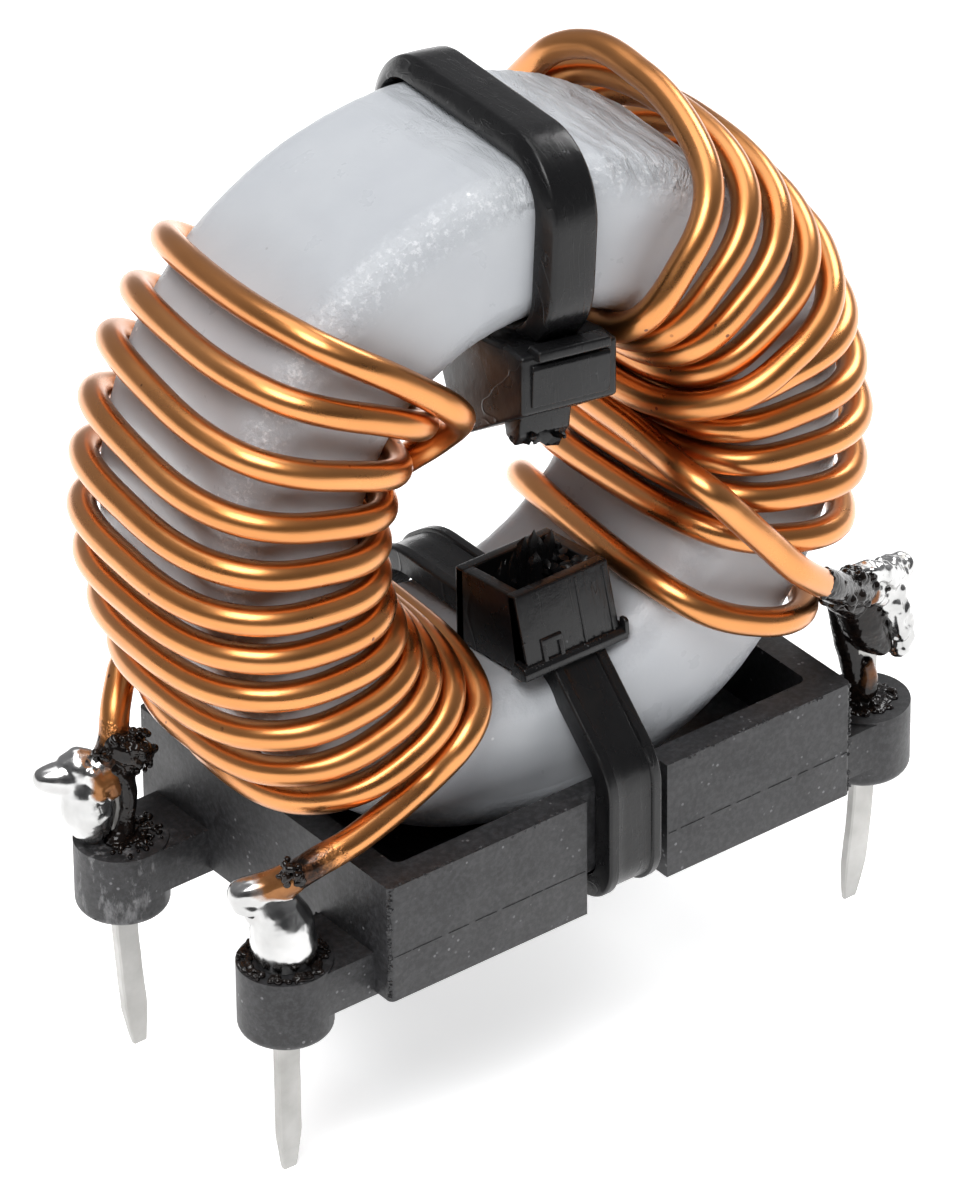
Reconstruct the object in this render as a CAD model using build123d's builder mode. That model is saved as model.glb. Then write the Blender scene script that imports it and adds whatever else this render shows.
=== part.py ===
"""Two-winding toroidal choke on a moulded base with four solder pins.

Millimetres, +Z up.  The origin lies in the seating plane (the undersides of
the four corner bosses), at the middle of the pin pattern.  +X runs along the
base, -Y is the front.  The ring stands on edge in the base, its axis near Y.
"""
import math
import os

from build123d import *

# ---------------------------------------------------------------- dimensions
# ring
RING_OD = 28.5
RING_ID = 15.46
RING_T = 11.1                  # axial length
RING_EDGE = 1.8                # rounded edges of the coated ring
RING_CENTRE = (-0.66, 0.50, 18.02)
RING_YAW = -6.0                # turned about Z
RING_LEAN = -3.0               # top leans towards the back

# winding
WIRE_D = 1.2
WIRE_GAP = 0.06                # air between wire and ring
BEND_R = 2.4                   # wire bend at each ring edge

# base
BASE_L, BASE_W, BASE_H = 23.0, 16.3, 5.3
BASE_Z = 1.3                   # underside of the walls above the seating plane
WALL = 1.25
FLOOR_TOP = 3.5
NOTCH_W = 4.0                  # tie notch in the front and back walls
NOTCH_D = 0.43
CHANNEL_D = 1.02               # tie channel under the floor
BOSS_R = 1.9
BOSS_TOP = 3.2
ARM_Z = 1.1
ARM_TOP = 3.1
ARM_HALF = 1.75

# pins
PIN_X, PIN_Y = 14.5, 5.35
PIN_W, PIN_T = 1.05, 0.45
PIN_TIP = -6.7
PIN_POINT = 1.6                # length of the tapered point

# cable ties
STRAP_W, STRAP_T = 2.6, 1.0
RAIL = 0.5                     # raised edge rails of the lower strap
GROOVE = 0.16
HEAD_W = 4.3
LOWER_HEAD_FRONT, LOWER_HEAD_BACK = 5.0, 3.7
TIE_GAP = 0.10
TOP_TIE_ANGLE = 85.0
TOP_TIE_BEND = 3.3             # outside of the upper strap at the ring edges
BOTTOM_TIE_X = 0.15

# ---------------------------------------------------------------- ring frame
RO, RI, HT = RING_OD / 2, RING_ID / 2, RING_T / 2
_cy, _sy = math.cos(math.radians(RING_YAW)), math.sin(math.radians(RING_YAW))
_cl, _sl = math.cos(math.radians(RING_LEAN)), math.sin(math.radians(RING_LEAN))


def turn(v):
    """Direction from the ring's own frame (axis along y) to the base frame."""
    x, y, z = v
    y, z = y * _cl - z * _sl, y * _sl + z * _cl
    return (x * _cy - y * _sy, x * _sy + y * _cy, z)


def at(rho, theta, y):
    """Point at radius rho and angle theta round the ring, y along its axis."""
    a = math.radians(theta)
    p = turn((rho * math.cos(a), y, rho * math.sin(a)))
    return tuple(c + d for c, d in zip(RING_CENTRE, p))


def ring_plane(theta):
    """Section plane of the ring at angle theta: x along the axis, y outward."""
    a = math.radians(theta)
    axis = turn((0, 1, 0))
    radial = turn((math.cos(a), 0, math.sin(a)))
    z = tuple(axis[(i + 1) % 3] * radial[(i + 2) % 3] - axis[(i + 2) % 3] * radial[(i + 1) % 3] for i in range(3))
    return Plane(origin=RING_CENTRE, x_dir=axis, z_dir=z)


# ---------------------------------------------------------------- ring
with BuildPart() as toroid_core:
    with BuildSketch(ring_plane(0)) as section:
        with Locations((0, (RO + RI) / 2)):
            RectangleRounded(RING_T, RO - RI, RING_EDGE)
    revolve(axis=Axis(RING_CENTRE, turn((0, 1, 0))), revolution_arc=360)

# the same ring with room round it, for trimming what lies against it
with BuildPart() as ring_room:
    with BuildSketch(ring_plane(0)) as room_section:
        with Locations((0, (RO + RI) / 2)):
            RectangleRounded(RING_T + 2 * TIE_GAP, RO - RI + 2 * TIE_GAP, RING_EDGE + TIE_GAP)
    revolve(axis=Axis(RING_CENTRE, turn((0, 1, 0))), revolution_arc=360)

# ---------------------------------------------------------------- wire routes
YW = HT + WIRE_D / 2 + WIRE_GAP          # wire plane on each face
RW_IN = RI - WIRE_D / 2 - WIRE_GAP       # wire radius in the bore
RW_OUT = RO + WIRE_D / 2 + WIRE_GAP      # wire radius outside

# left winding: angles at the four edges of each turn
L_FRONT_IN = [None, 134.0, 148.5, 160.5, 171.7, 182.0, 192.1, 202.2, 212.3, 222.4, 232.5, 242.6]
L_FRONT_OUT = [133.8, 143.5, 154.0, 163.5, 172.0, 180.0, 187.0, 194.5, 203.0, 212.0, 220.5]
L_BACK_OUT = [134.5, 143.5, 152.0, 161.5, 170.5, 179.2, 187.2, 196.0, 205.0, 214.5, 224.0]
L_BACK_IN = [130.0, 144.0, 156.3, 167.6, 178.1, 188.2, 198.3, 208.4, 218.5, 228.6, 238.7]

left_end = [(-17.1, 5.55, 7.15), (-14.3, 5.55, 7.75), (-13.75, 6.9, 9.9)]
left_route = left_end + [at(15.2, 204.0, 8.0), at(5.6, 186.0, 7.75), at(6.3, 124.0, -6.4)]
left_radii = [0.75, 1.2, 3.0, 2.2, 2.0]
for k in range(11):
    left_route += [at(RW_OUT, L_FRONT_OUT[k], -YW), at(RW_OUT, L_BACK_OUT[k], YW),
                   at(RW_IN, L_BACK_IN[k], YW), at(RW_IN, L_FRONT_IN[k + 1], -YW)]
    left_radii += [BEND_R] * 4
left_route += [(-10.4, -6.55, 8.55), (-16.35, -5.5, 6.75)]
left_radii += [3.0]

# right winding
R_FRONT_OUT = [57.5, 49.0, 41.0, 32.5, 25.5, 15.8, 6.8, -1.6, -10.5, -19.5, -35.5]
R_FRONT_IN = [61.0, 50.4, 39.8, 29.2, 23.9, 18.6, 8.0, -2.6, -13.2, -24.5, -46.0]
R_BACK_IN = [57.0, 46.4, 35.8, 25.2, 19.9, 14.6, 4.0, -6.6, -17.2, -29.0, -45.0]
R_BACK_OUT = [66.0, 54.5, 46.0, 37.5, 30.0, 20.5, 11.5, 3.0, -6.0, -15.0, -30.0]
R_STACKED = [4]                          # turns that ride on their neighbours
RW_STACK = RW_IN - 1.14
Y_STACK = YW + 1.14

right_route = [(17.0, -4.75, 8.3), (14.2, -5.75, 9.1), (9.3, -8.45, 12.7), at(5.6, 3.0, -7.85), at(5.5, 8.0, 8.75),
               at(15.5, 60.5, 7.0)]
right_radii = [2.0, 3.0, 2.3, 2.2, 3.0]
for k in range(11):
    up = k in R_STACKED
    ri, yi = (RW_STACK, Y_STACK) if up else (RW_IN, YW)
    if k:
        right_route.append(at(RW_OUT, R_BACK_OUT[k], YW))
        right_radii.append(BEND_R)
    right_route += [at(RW_OUT, R_FRONT_OUT[k], -YW), at(ri, R_FRONT_IN[k], -yi), at(ri, R_BACK_IN[k], yi)]
    right_radii += [BEND_R] * 3
right_route += [(10.4, 6.9, 8.7), (16.35, 5.5, 6.75)]
right_radii += [3.0]


def unit(a, b):
    v = [q - p for p, q in zip(a, b)]
    n = math.sqrt(sum(c * c for c in v))
    return tuple(c / n for c in v), n


with BuildPart() as winding_left:
    with BuildLine() as left_path:
        FilletPolyline(*left_route, radius=left_radii)
    with BuildSketch(Plane(origin=left_route[0], z_dir=unit(left_route[0], left_route[1])[0])):
        Circle(WIRE_D / 2)
    sweep(path=left_path.line)

with BuildPart() as winding_right:
    with BuildLine() as right_path:
        FilletPolyline(*right_route, radius=right_radii)
    with BuildSketch(Plane(origin=right_route[0], z_dir=unit(right_route[0], right_route[1])[0])):
        Circle(WIRE_D / 2)
    sweep(path=right_path.line)

for name, path, solid in (("left", left_path, winding_left), ("right", right_path, winding_right)):
    length = sum(e.length for e in path.edges())
    print(f"winding {name}: wire {length:.1f} mm, volume {solid.part.volume:.1f}, "
          f"section x length {length * math.pi * WIRE_D ** 2 / 4:.1f}")

# ---------------------------------------------------------------- base
CORNERS = [(sx * PIN_X, sy * PIN_Y) for sx in (-1, 1) for sy in (-1, 1)]

with BuildPart() as mounting_base:
    # walls and floor
    with BuildSketch(Plane.XY.offset(BASE_Z)):
        RectangleRounded(BASE_L, BASE_W, 0.25)
    extrude(amount=BASE_H)
    with BuildSketch(Plane.XY.offset(FLOOR_TOP)):
        RectangleRounded(BASE_L - 2 * WALL, BASE_W - 2 * WALL, 0.4)
    extrude(amount=BASE_H, mode=Mode.SUBTRACT)
    # arms from the end walls to the corner bosses
    with BuildSketch(Plane.XY.offset(ARM_Z)):
        for sx in (-1, 1):
            with Locations((sx * (BASE_L / 2 + PIN_X - 0.3) / 2, PIN_Y), (sx * (BASE_L / 2 + PIN_X - 0.3) / 2, -PIN_Y)):
                Rectangle(PIN_X - BASE_L / 2 + 0.3, 2 * ARM_HALF)
    extrude(amount=ARM_TOP - ARM_Z)
    # bosses, rounded at their feet
    with BuildSketch(Plane.XY):
        with Locations(*CORNERS):
            Circle(BOSS_R)
    extrude(amount=BOSS_TOP)
    feet = mounting_base.edges().filter_by(GeomType.CIRCLE).group_by(Axis.Z)[0]
    fillet(feet, radius=0.45)
    # tie notches in the long walls and the channel under the floor
    with BuildSketch(Plane.XY.offset(BASE_Z)):
        for sy in (-1, 1):
            with Locations((BOTTOM_TIE_X, sy * (BASE_W / 2 - NOTCH_D / 2))):
                Rectangle(NOTCH_W, NOTCH_D)
    extrude(amount=BASE_H, mode=Mode.SUBTRACT)
    with BuildSketch(Plane.XY.offset(BASE_Z)):
        with Locations((BOTTOM_TIE_X, 0)):
            Rectangle(NOTCH_W, BASE_W)
    extrude(amount=CHANNEL_D, mode=Mode.SUBTRACT)
    # the wall edges that the tie bends round
    lips = [e for e in mounting_base.edges().filter_by(Axis.X)
            if abs(e.center().Z - BASE_Z - CHANNEL_D) < 0.01 and abs(abs(e.center().Y) - BASE_W / 2 + NOTCH_D) < 0.01]
    fillet(lips, radius=0.98)
    # pin slots
    with BuildSketch(Plane.XY.offset(-1)):
        with Locations(*CORNERS):
            Rectangle(PIN_W, PIN_T)
    extrude(amount=BOSS_TOP + 2, mode=Mode.SUBTRACT)

# ---------------------------------------------------------------- pins and solder
# name, x, y, top of the pin, solder centre, solder half-width and half-height
JOINTS = [
    ("front_left", -PIN_X, -PIN_Y, 6.0, (-14.60, -5.40, 5.40), 1.62, 2.30),
    ("back_left", -PIN_X, PIN_Y, 6.4, (-14.75, 5.40, 6.00), 1.55, 2.25),
    ("front_right", PIN_X, -PIN_Y, 7.0, (14.85, -5.45, 7.25), 1.52, 2.20),
    ("back_right", PIN_X, PIN_Y, 6.0, (14.60, 5.40, 5.40), 1.62, 2.30),
]


def wire_run(points, radii):
    """The stretch of wire that a solder joint holds."""
    with BuildPart() as run:
        with BuildLine() as line:
            if radii:
                FilletPolyline(*points, radius=radii)
            else:
                Line(*points)
        with BuildSketch(Plane(origin=points[0], z_dir=unit(points[0], points[1])[0])):
            Circle(WIRE_D / 2)
        sweep(path=line.line)
    return run.part


def part_way(a, b, f):
    return tuple(p + f * (q - p) for p, q in zip(a, b))


HELD = {
    "front_left": wire_run([left_route[-1], part_way(left_route[-1], left_route[-2], 0.6)], None),
    "back_left": wire_run([left_route[0], left_route[1], part_way(left_route[1], left_route[2], 0.6)], left_radii[:1]),
    "front_right": wire_run([right_route[0], right_route[1], part_way(right_route[1], right_route[2], 0.6)], right_radii[:1]),
    "back_right": wire_run([right_route[-1], part_way(right_route[-1], right_route[-2], 0.6)], None),
}

pins, solders = [], []
for name, x, y, top, centre, half_w, half_h in JOINTS:
    with BuildPart() as pin:
        # flat blade with a chisel point
        with BuildSketch(Plane.XY.offset(PIN_TIP + PIN_POINT)):
            with Locations((x, y)):
                Rectangle(PIN_W, PIN_T)
        extrude(amount=top - PIN_TIP - PIN_POINT)
        with BuildSketch(Plane.XY.offset(PIN_TIP + PIN_POINT)):
            with Locations((x, y)):
                Rectangle(PIN_W, PIN_T)
        with BuildSketch(Plane.XY.offset(PIN_TIP)):
            with Locations((x, y)):
                Rectangle(PIN_W * 0.6, PIN_T * 0.6)
        loft()
    pin.part.label = "pin_" + name
    pins.append(pin.part)
    with BuildPart() as joint:
        # egg of solder round the pin and the wire, standing on the boss
        with BuildSketch(Plane(origin=centre, x_dir=(1, 0, 0), z_dir=(0, -1, 0))):
            with BuildLine():
                EllipticalCenterArc((0, 0), half_w, half_h, start_angle=-90, arc_size=180)
                Line((0, half_h), (0, -half_h))
            make_face()
        revolve(axis=Axis(centre, (0, 0, 1)), revolution_arc=360)
        with BuildSketch(Plane.XY):
            with Locations((x, y)):
                Rectangle(8, 8)
        extrude(amount=BOSS_TOP, mode=Mode.SUBTRACT)
        add(pin.part, mode=Mode.SUBTRACT)
        add(HELD[name], mode=Mode.SUBTRACT)
    joint.part.label = "solder_" + name
    solders.append(joint.part)

# ---------------------------------------------------------------- cable ties
HALF_S = HT + TIE_GAP + 0.04
with BuildPart() as cable_tie_top:
    inner_h = RO - RI + 2 * TIE_GAP + 0.2
    mid = (RO + RI) / 2 - 0.05
    with BuildSketch(ring_plane(TOP_TIE_ANGLE)):
        with Locations((0, mid)):
            RectangleRounded(2 * HALF_S + 2 * STRAP_T, inner_h + 2 * STRAP_T, TOP_TIE_BEND)
            RectangleRounded(2 * HALF_S, inner_h, RING_EDGE, mode=Mode.SUBTRACT)
    extrude(amount=STRAP_W / 2, both=True)
    # head at the front edge of the bore, with the clipped tail below it
    with BuildSketch(ring_plane(TOP_TIE_ANGLE)):
        with BuildLine():
            Polyline((-6.55, 7.45), (-6.75, 4.95), (-2.15, 2.05), (-0.85, 4.45), (-3.2, 6.9), (-5.6, 7.6), close=True)
        make_face()
    extrude(amount=HEAD_W / 2, both=True)
    with BuildSketch(ring_plane(TOP_TIE_ANGLE)):
        with BuildLine():
            Polyline((-5.15, 4.1), (-5.05, 3.0), (-4.55, 2.35), (-4.0, 2.7), (-3.9, 3.3), (-4.2, 4.3), close=True)
        make_face()
    extrude(amount=STRAP_W / 2 - 0.1, both=True)
    add(ring_room.part, mode=Mode.SUBTRACT)

BY = BASE_W / 2 - NOTCH_D + 0.03
LOOP = [(-BY, BASE_Z + CHANNEL_D - 0.01), (BY, BASE_Z + CHANNEL_D - 0.01), (BY, 7.0), (6.3, 9.5), (4.9, 10.5),
        (-4.2, 10.9), (-BY, 7.0)]
LOOP_R = [0.9, 0.9, 1.5, 1.5, 2.0, 1.2, 1.5]
TIE_PLANE = Plane(origin=(BOTTOM_TIE_X, 0, 0), x_dir=(0, 1, 0), z_dir=(1, 0, 0))

with BuildPart() as cable_tie_bottom:
    with BuildSketch(TIE_PLANE):
        with BuildLine():
            FilletPolyline(*LOOP, radius=LOOP_R, close=True)
        make_face()
        offset(amount=STRAP_T, kind=Kind.ARC)
        with BuildLine():
            FilletPolyline(*LOOP, radius=LOOP_R, close=True)
        make_face(mode=Mode.SUBTRACT)
    extrude(amount=STRAP_W / 2, both=True)
    with BuildSketch(TIE_PLANE):
        with BuildLine():
            FilletPolyline(*LOOP, radius=LOOP_R, close=True)
        make_face()
        offset(amount=STRAP_T + 0.5, kind=Kind.ARC)
        with BuildSketch(mode=Mode.PRIVATE) as inside:
            with BuildLine():
                FilletPolyline(*LOOP, radius=LOOP_R, close=True)
            make_face()
            offset(amount=STRAP_T - GROOVE, kind=Kind.ARC)
        add(inside.sketch, mode=Mode.SUBTRACT)
    extrude(amount=STRAP_W / 2 - RAIL, both=True, mode=Mode.SUBTRACT)
    # head standing on the front edge of the bore, with a foot flange
    with BuildSketch(TIE_PLANE):
        with BuildLine():
            Polyline((-4.0, 14.5), (-4.5, 11.05), (-4.95, 11.0), (-5.05, 10.35), (-4.6, 10.1), (-0.3, 10.1),
                     (-0.25, 13.95), close=True)
        make_face()
    extrude(amount=LOWER_HEAD_FRONT / 2, both=True)
    # the head narrows towards its back
    with BuildSketch(Plane.XY.offset(11.6)):
        for sx in (-1, 1):
            with BuildLine():
                Polyline((BOTTOM_TIE_X + sx * LOWER_HEAD_FRONT / 2, -4.3), (BOTTOM_TIE_X + sx * LOWER_HEAD_BACK / 2, -0.2),
                         (BOTTOM_TIE_X + sx * 4, -0.2), (BOTTOM_TIE_X + sx * 4, -4.3), close=True)
            make_face()
    extrude(amount=4, mode=Mode.SUBTRACT)
    # open slot in the top of the head and the clipped tail in it
    with BuildSketch(Plane(origin=(BOTTOM_TIE_X, -2.15, 14.8), x_dir=(1, 0, 0), z_dir=(0, 0.145, 0.989))):
        Rectangle(2.95, 2.75)
    extrude(amount=-2.4, mode=Mode.SUBTRACT)
    with BuildSketch(Plane(origin=(BOTTOM_TIE_X, -1.75, 11.6), x_dir=(1, 0, 0), z_dir=(0, 0.145, 0.989))):
        Rectangle(2.4, 1.0)
    extrude(amount=2.9)
    add(ring_room.part, mode=Mode.SUBTRACT)

# ---------------------------------------------------------------- write
os.makedirs("parts", exist_ok=True)
finished = [("toroid_core", toroid_core.part), ("winding_left", winding_left.part), ("winding_right", winding_right.part),
            ("mounting_base", mounting_base.part), ("cable_tie_top", cable_tie_top.part),
            ("cable_tie_bottom", cable_tie_bottom.part)]
finished += [(p.label, p) for p in pins + solders]
for label, solid in finished:
    solid.label = label
    export_step(solid, f"parts/{label}.step")
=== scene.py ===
import math
import random

import bmesh
import bpy
import numpy as np
from mathutils import Matrix, Vector, noise


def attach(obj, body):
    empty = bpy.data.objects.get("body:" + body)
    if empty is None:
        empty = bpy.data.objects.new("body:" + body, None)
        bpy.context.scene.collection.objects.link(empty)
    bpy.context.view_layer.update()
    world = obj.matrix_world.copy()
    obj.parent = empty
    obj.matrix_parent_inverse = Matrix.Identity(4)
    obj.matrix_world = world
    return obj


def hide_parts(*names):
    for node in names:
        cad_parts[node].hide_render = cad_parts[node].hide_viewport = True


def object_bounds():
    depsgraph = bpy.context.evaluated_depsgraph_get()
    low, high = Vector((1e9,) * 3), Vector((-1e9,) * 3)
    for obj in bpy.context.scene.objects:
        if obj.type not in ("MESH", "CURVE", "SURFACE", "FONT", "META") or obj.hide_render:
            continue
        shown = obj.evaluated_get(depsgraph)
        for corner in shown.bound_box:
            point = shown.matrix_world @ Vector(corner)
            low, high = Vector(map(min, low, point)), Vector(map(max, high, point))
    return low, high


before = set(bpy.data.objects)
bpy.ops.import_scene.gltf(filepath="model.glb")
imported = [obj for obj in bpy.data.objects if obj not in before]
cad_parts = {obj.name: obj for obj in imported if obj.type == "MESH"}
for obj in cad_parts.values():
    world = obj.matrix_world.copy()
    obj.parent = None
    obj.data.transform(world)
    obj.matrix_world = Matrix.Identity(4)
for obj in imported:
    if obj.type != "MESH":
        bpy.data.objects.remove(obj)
cad_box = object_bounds()
MM = 0.001

# ------------------------------------------------------------------ camera
REF = Vector((0.0, 0.0, 13.3))
VIEW_R = Vector((0.78838511, -0.61513403, -0.00768426))
VIEW_U = Vector((0.33851796, 0.42336324, 0.84033872))
VIEW_B = Vector((-0.51366771, -0.66511179, 0.54200718))
PX_PER_MM = 25.6
DIST = 370.0
cam_data = bpy.data.cameras.new("camera")
cam = bpy.data.objects.new("camera", cam_data)
bpy.context.scene.collection.objects.link(cam)
place = Matrix((VIEW_R, VIEW_U, VIEW_B)).transposed().to_4x4()
place.translation = (REF + VIEW_B * DIST) * MM
cam.matrix_world = place
cam_data.sensor_fit = "AUTO"
cam_data.sensor_width = 36.0
cam_data.lens = PX_PER_MM * DIST * 36.0 / 1200.0
cam_data.shift_x = -(493.96 - 477.5) / 1200.0
cam_data.shift_y = (551.5 - 600.0) / 1200.0
cam_data.clip_start = 0.01
cam_data.clip_end = 10.0
bpy.context.scene.camera = cam
bpy.context.scene.view_settings.view_transform = "Standard"

# ------------------------------------------------------------------ ring frame
RING_CENTRE = (-0.66, 0.50, 18.02)
RO, RI, HT, EDGE = 14.25, 7.73, 5.55, 1.8
MID = (RO + RI) / 2
WIRE_R = 0.6
_cy, _sy = math.cos(math.radians(-6.0)), math.sin(math.radians(-6.0))
_cl, _sl = math.cos(math.radians(-3.0)), math.sin(math.radians(-3.0))


def turn(v):
    x, y, z = v
    y, z = y * _cl - z * _sl, y * _sl + z * _cl
    return Vector((x * _cy - y * _sy, x * _sy + y * _cy, z))


def at(rho, theta, y):
    a = math.radians(theta)
    return Vector(RING_CENTRE) + turn((rho * math.cos(a), y, rho * math.sin(a)))


# ------------------------------------------------------------------ mesh helpers
def mesh_object(name, verts, faces, material, node=None, smooth=True):
    me = bpy.data.meshes.new(name)
    me.from_pydata([Vector(v) * MM for v in verts], [], faces)
    me.update()
    ob = bpy.data.objects.new(name, me)
    bpy.context.scene.collection.objects.link(ob)
    finish_piece(ob, material, node, smooth)
    return ob


def finish_piece(ob, material, node=None, smooth=True):
    ob.data.materials.clear()
    ob.data.materials.append(material)
    if smooth:
        ob.data.polygons.foreach_set("use_smooth", [True] * len(ob.data.polygons))
    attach(ob, "root")
    if node:
        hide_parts(node)


def set_attr(ob, name, values):
    a = ob.data.attributes.new(name, "FLOAT", "POINT")
    a.data.foreach_set("value", values)


def unit_ball(level):
    bm = bmesh.new()
    bmesh.ops.create_icosphere(bm, subdivisions=level, radius=1.0)
    bm.verts.index_update()
    out = np.array([tuple(v.co) for v in bm.verts]), np.array([[v.index for v in f.verts] for f in bm.faces])
    bm.free()
    return out


BALL, GRAIN = unit_ball(3), unit_ball(1)


# ------------------------------------------------------------------ materials
class Nodes:
    def __init__(self, name):
        self.mat = bpy.data.materials.new(name)
        self.mat.use_nodes = True
        self.nt = self.mat.node_tree
        self.bsdf = self.nt.nodes["Principled BSDF"]
        self.coord = self.nt.nodes.new("ShaderNodeTexCoord")

    def link(self, a, b):
        self.nt.links.new(a, b)

    def noise(self, scale, detail=4.0, rough=0.55, vector=None, distortion=0.0):
        n = self.nt.nodes.new("ShaderNodeTexNoise")
        n.inputs["Scale"].default_value = scale
        n.inputs["Detail"].default_value = detail
        n.inputs["Roughness"].default_value = rough
        n.inputs["Distortion"].default_value = distortion
        self.link(vector or self.coord.outputs["Object"], n.inputs["Vector"])
        return n.outputs["Fac"]

    def voronoi(self, scale, feature="F1", vector=None):
        n = self.nt.nodes.new("ShaderNodeTexVoronoi")
        n.feature = feature
        n.inputs["Scale"].default_value = scale
        self.link(vector or self.coord.outputs["Object"], n.inputs["Vector"])
        return n.outputs["Distance"]

    def mapping(self, scale, vector=None):
        n = self.nt.nodes.new("ShaderNodeMapping")
        n.inputs["Scale"].default_value = scale
        self.link(vector or self.coord.outputs["Object"], n.inputs["Vector"])
        return n.outputs["Vector"]

    def ramp(self, fac, stops):
        n = self.nt.nodes.new("ShaderNodeValToRGB")
        els = n.color_ramp.elements
        while len(els) < len(stops):
            els.new(0.5)
        for e, (p, c) in zip(els, stops):
            e.position = p
            e.color = (c, c, c, 1.0) if isinstance(c, (int, float)) else (*c, 1.0)
        self.link(fac, n.inputs["Fac"])
        return n.outputs["Color"]

    def mix(self, fac, a, b):
        n = self.nt.nodes.new("ShaderNodeMix")
        n.data_type = "RGBA"
        for sock, v in ((n.inputs[0], fac), (n.inputs[6], a), (n.inputs[7], b)):
            if isinstance(v, (int, float)):
                sock.default_value = v
            elif isinstance(v, tuple):
                sock.default_value = (*v, 1.0)
            else:
                self.link(v, sock)
        return n.outputs[2]

    def math(self, op, a, b=0.0, clamp=False):
        n = self.nt.nodes.new("ShaderNodeMath")
        n.operation = op
        n.use_clamp = clamp
        for sock, v in ((n.inputs[0], a), (n.inputs[1], b)):
            if isinstance(v, (int, float)):
                sock.default_value = v
            else:
                self.link(v, sock)
        return n.outputs[0]

    def attr(self, name):
        n = self.nt.nodes.new("ShaderNodeAttribute")
        n.attribute_name = name
        return n.outputs["Fac"]

    def bump(self, height, strength, distance, normal=None):
        n = self.nt.nodes.new("ShaderNodeBump")
        n.inputs["Strength"].default_value = strength
        n.inputs["Distance"].default_value = distance
        self.link(height, n.inputs["Height"])
        if normal is not None:
            self.link(normal, n.inputs["Normal"])
        return n.outputs["Normal"]

    def put(self, **kw):
        names = {"color": "Base Color", "rough": "Roughness", "metal": "Metallic", "normal": "Normal",
                 "spec": "Specular IOR Level", "coat": "Coat Weight", "coat_rough": "Coat Roughness",
                 "coat_normal": "Coat Normal", "ior": "IOR"}
        for k, v in kw.items():
            s = self.bsdf.inputs[names[k]]
            if isinstance(v, tuple):
                s.default_value = (*v, 1.0)
            elif isinstance(v, (int, float)):
                s.default_value = v
            else:
                self.link(v, s)
        return self.mat


def ring_material():
    m = Nodes("ring_coat")
    cloud = m.noise(220, 3)
    base = m.ramp(cloud, [(0.3, (0.455, 0.475, 0.505)), (0.7, (0.50, 0.52, 0.545))])
    specks = m.ramp(m.voronoi(900), [(0.0, 1.0), (0.06, 1.0), (0.10, 0.0)])
    sparse = m.ramp(m.noise(420, 2), [(0.60, 0.0), (0.68, 1.0)])
    dot = m.math("MULTIPLY", specks, sparse)
    col = m.mix(dot, base, (0.80, 0.81, 0.82))
    dark = m.math("MULTIPLY", m.ramp(m.voronoi(760), [(0.0, 1.0), (0.05, 1.0), (0.08, 0.0)]),
                  m.ramp(m.noise(300, 2), [(0.62, 0.0), (0.70, 1.0)]))
    col = m.mix(m.math("MULTIPLY", dark, 0.45), col, (0.22, 0.22, 0.23))
    edge = m.attr("edge")
    # lighter colour along the rounded edges, strongest on the front outer edge: partly worn coat, partly a painted
    # highlight for the bright speckled glints on that edge
    rub_and_glint = m.math("MULTIPLY", m.math("POWER", edge, 2.6), m.ramp(m.noise(3400, 5, 0.7), [(0.52, 0.0), (0.62, 1.0)]))
    col = m.mix(m.math("MULTIPLY", rub_and_glint, 0.55), col, (0.82, 0.83, 0.85))
    rough = m.ramp(m.noise(600, 4), [(0.3, 0.26), (0.7, 0.36)])
    peel = m.bump(m.noise(900, 3), 0.10, 0.0002)
    pit = m.math("MULTIPLY", edge, m.noise(2600, 5, 0.65))
    peel = m.bump(pit, 0.55, 0.00022, peel)
    crease = m.math("MULTIPLY", m.attr("crease"), m.noise(520, 6, 0.65, m.mapping((2.6, 0.7, 1.6)), 1.2))
    peel = m.bump(crease, 1.0, 0.0008, peel)
    return m.put(color=col, rough=rough, normal=peel, spec=0.5)


def copper_material():
    m = Nodes("enamelled_copper")
    uv = m.coord.outputs["UV"]
    patch = m.noise(0.10, 3, vector=m.mapping((1.0, 3.0, 1.0), uv))
    col = m.ramp(patch, [(0.30, (0.55, 0.222, 0.067)), (0.55, (0.635, 0.266, 0.087)), (0.78, (0.70, 0.309, 0.110))])
    speck = m.math("MULTIPLY", m.ramp(m.voronoi(1500), [(0.0, 1.0), (0.10, 1.0), (0.15, 0.0)]),
                   m.ramp(m.noise(260, 2), [(0.60, 0.0), (0.66, 1.0)]))
    col = m.mix(speck, col, (0.16, 0.06, 0.03))
    end = m.math("ADD", m.attr("end"), m.math("MULTIPLY", m.math("SUBTRACT", m.noise(1300, 5, 0.65), 0.5), 0.35))
    burnt = m.ramp(end, [(0.10, 0.0), (0.30, 1.0)])
    tinned = m.ramp(end, [(0.52, 0.0), (0.62, 1.0)])
    soot = m.ramp(m.noise(2400, 4, 0.6), [(0.40, (0.012, 0.008, 0.006)), (0.66, (0.10, 0.040, 0.018)), (0.74, (0.42, 0.34, 0.28))])
    tin = m.ramp(m.noise(700, 4), [(0.32, (0.34, 0.325, 0.30)), (0.7, (0.66, 0.655, 0.64))])
    col = m.mix(tinned, m.mix(burnt, col, soot), tin)
    line = m.noise(9.0, 4, 0.6, m.mapping((0.02, 3.0, 1.0), uv))
    rough = m.ramp(m.noise(0.35, 4, vector=m.mapping((1.0, 5.0, 1.0), uv)), [(0.3, 0.24), (0.7, 0.36)])
    nrm = m.bump(line, 0.05, 0.00012)
    nrm = m.bump(m.noise(1300, 3), 0.06, 0.0001, nrm)
    nrm = m.bump(m.math("MULTIPLY", burnt, m.noise(2600, 5, 0.6)), 0.5, 0.00025, nrm)
    return m.put(color=col, metal=1.0, rough=rough, normal=nrm, coat=0.28, coat_rough=0.14)


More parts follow.
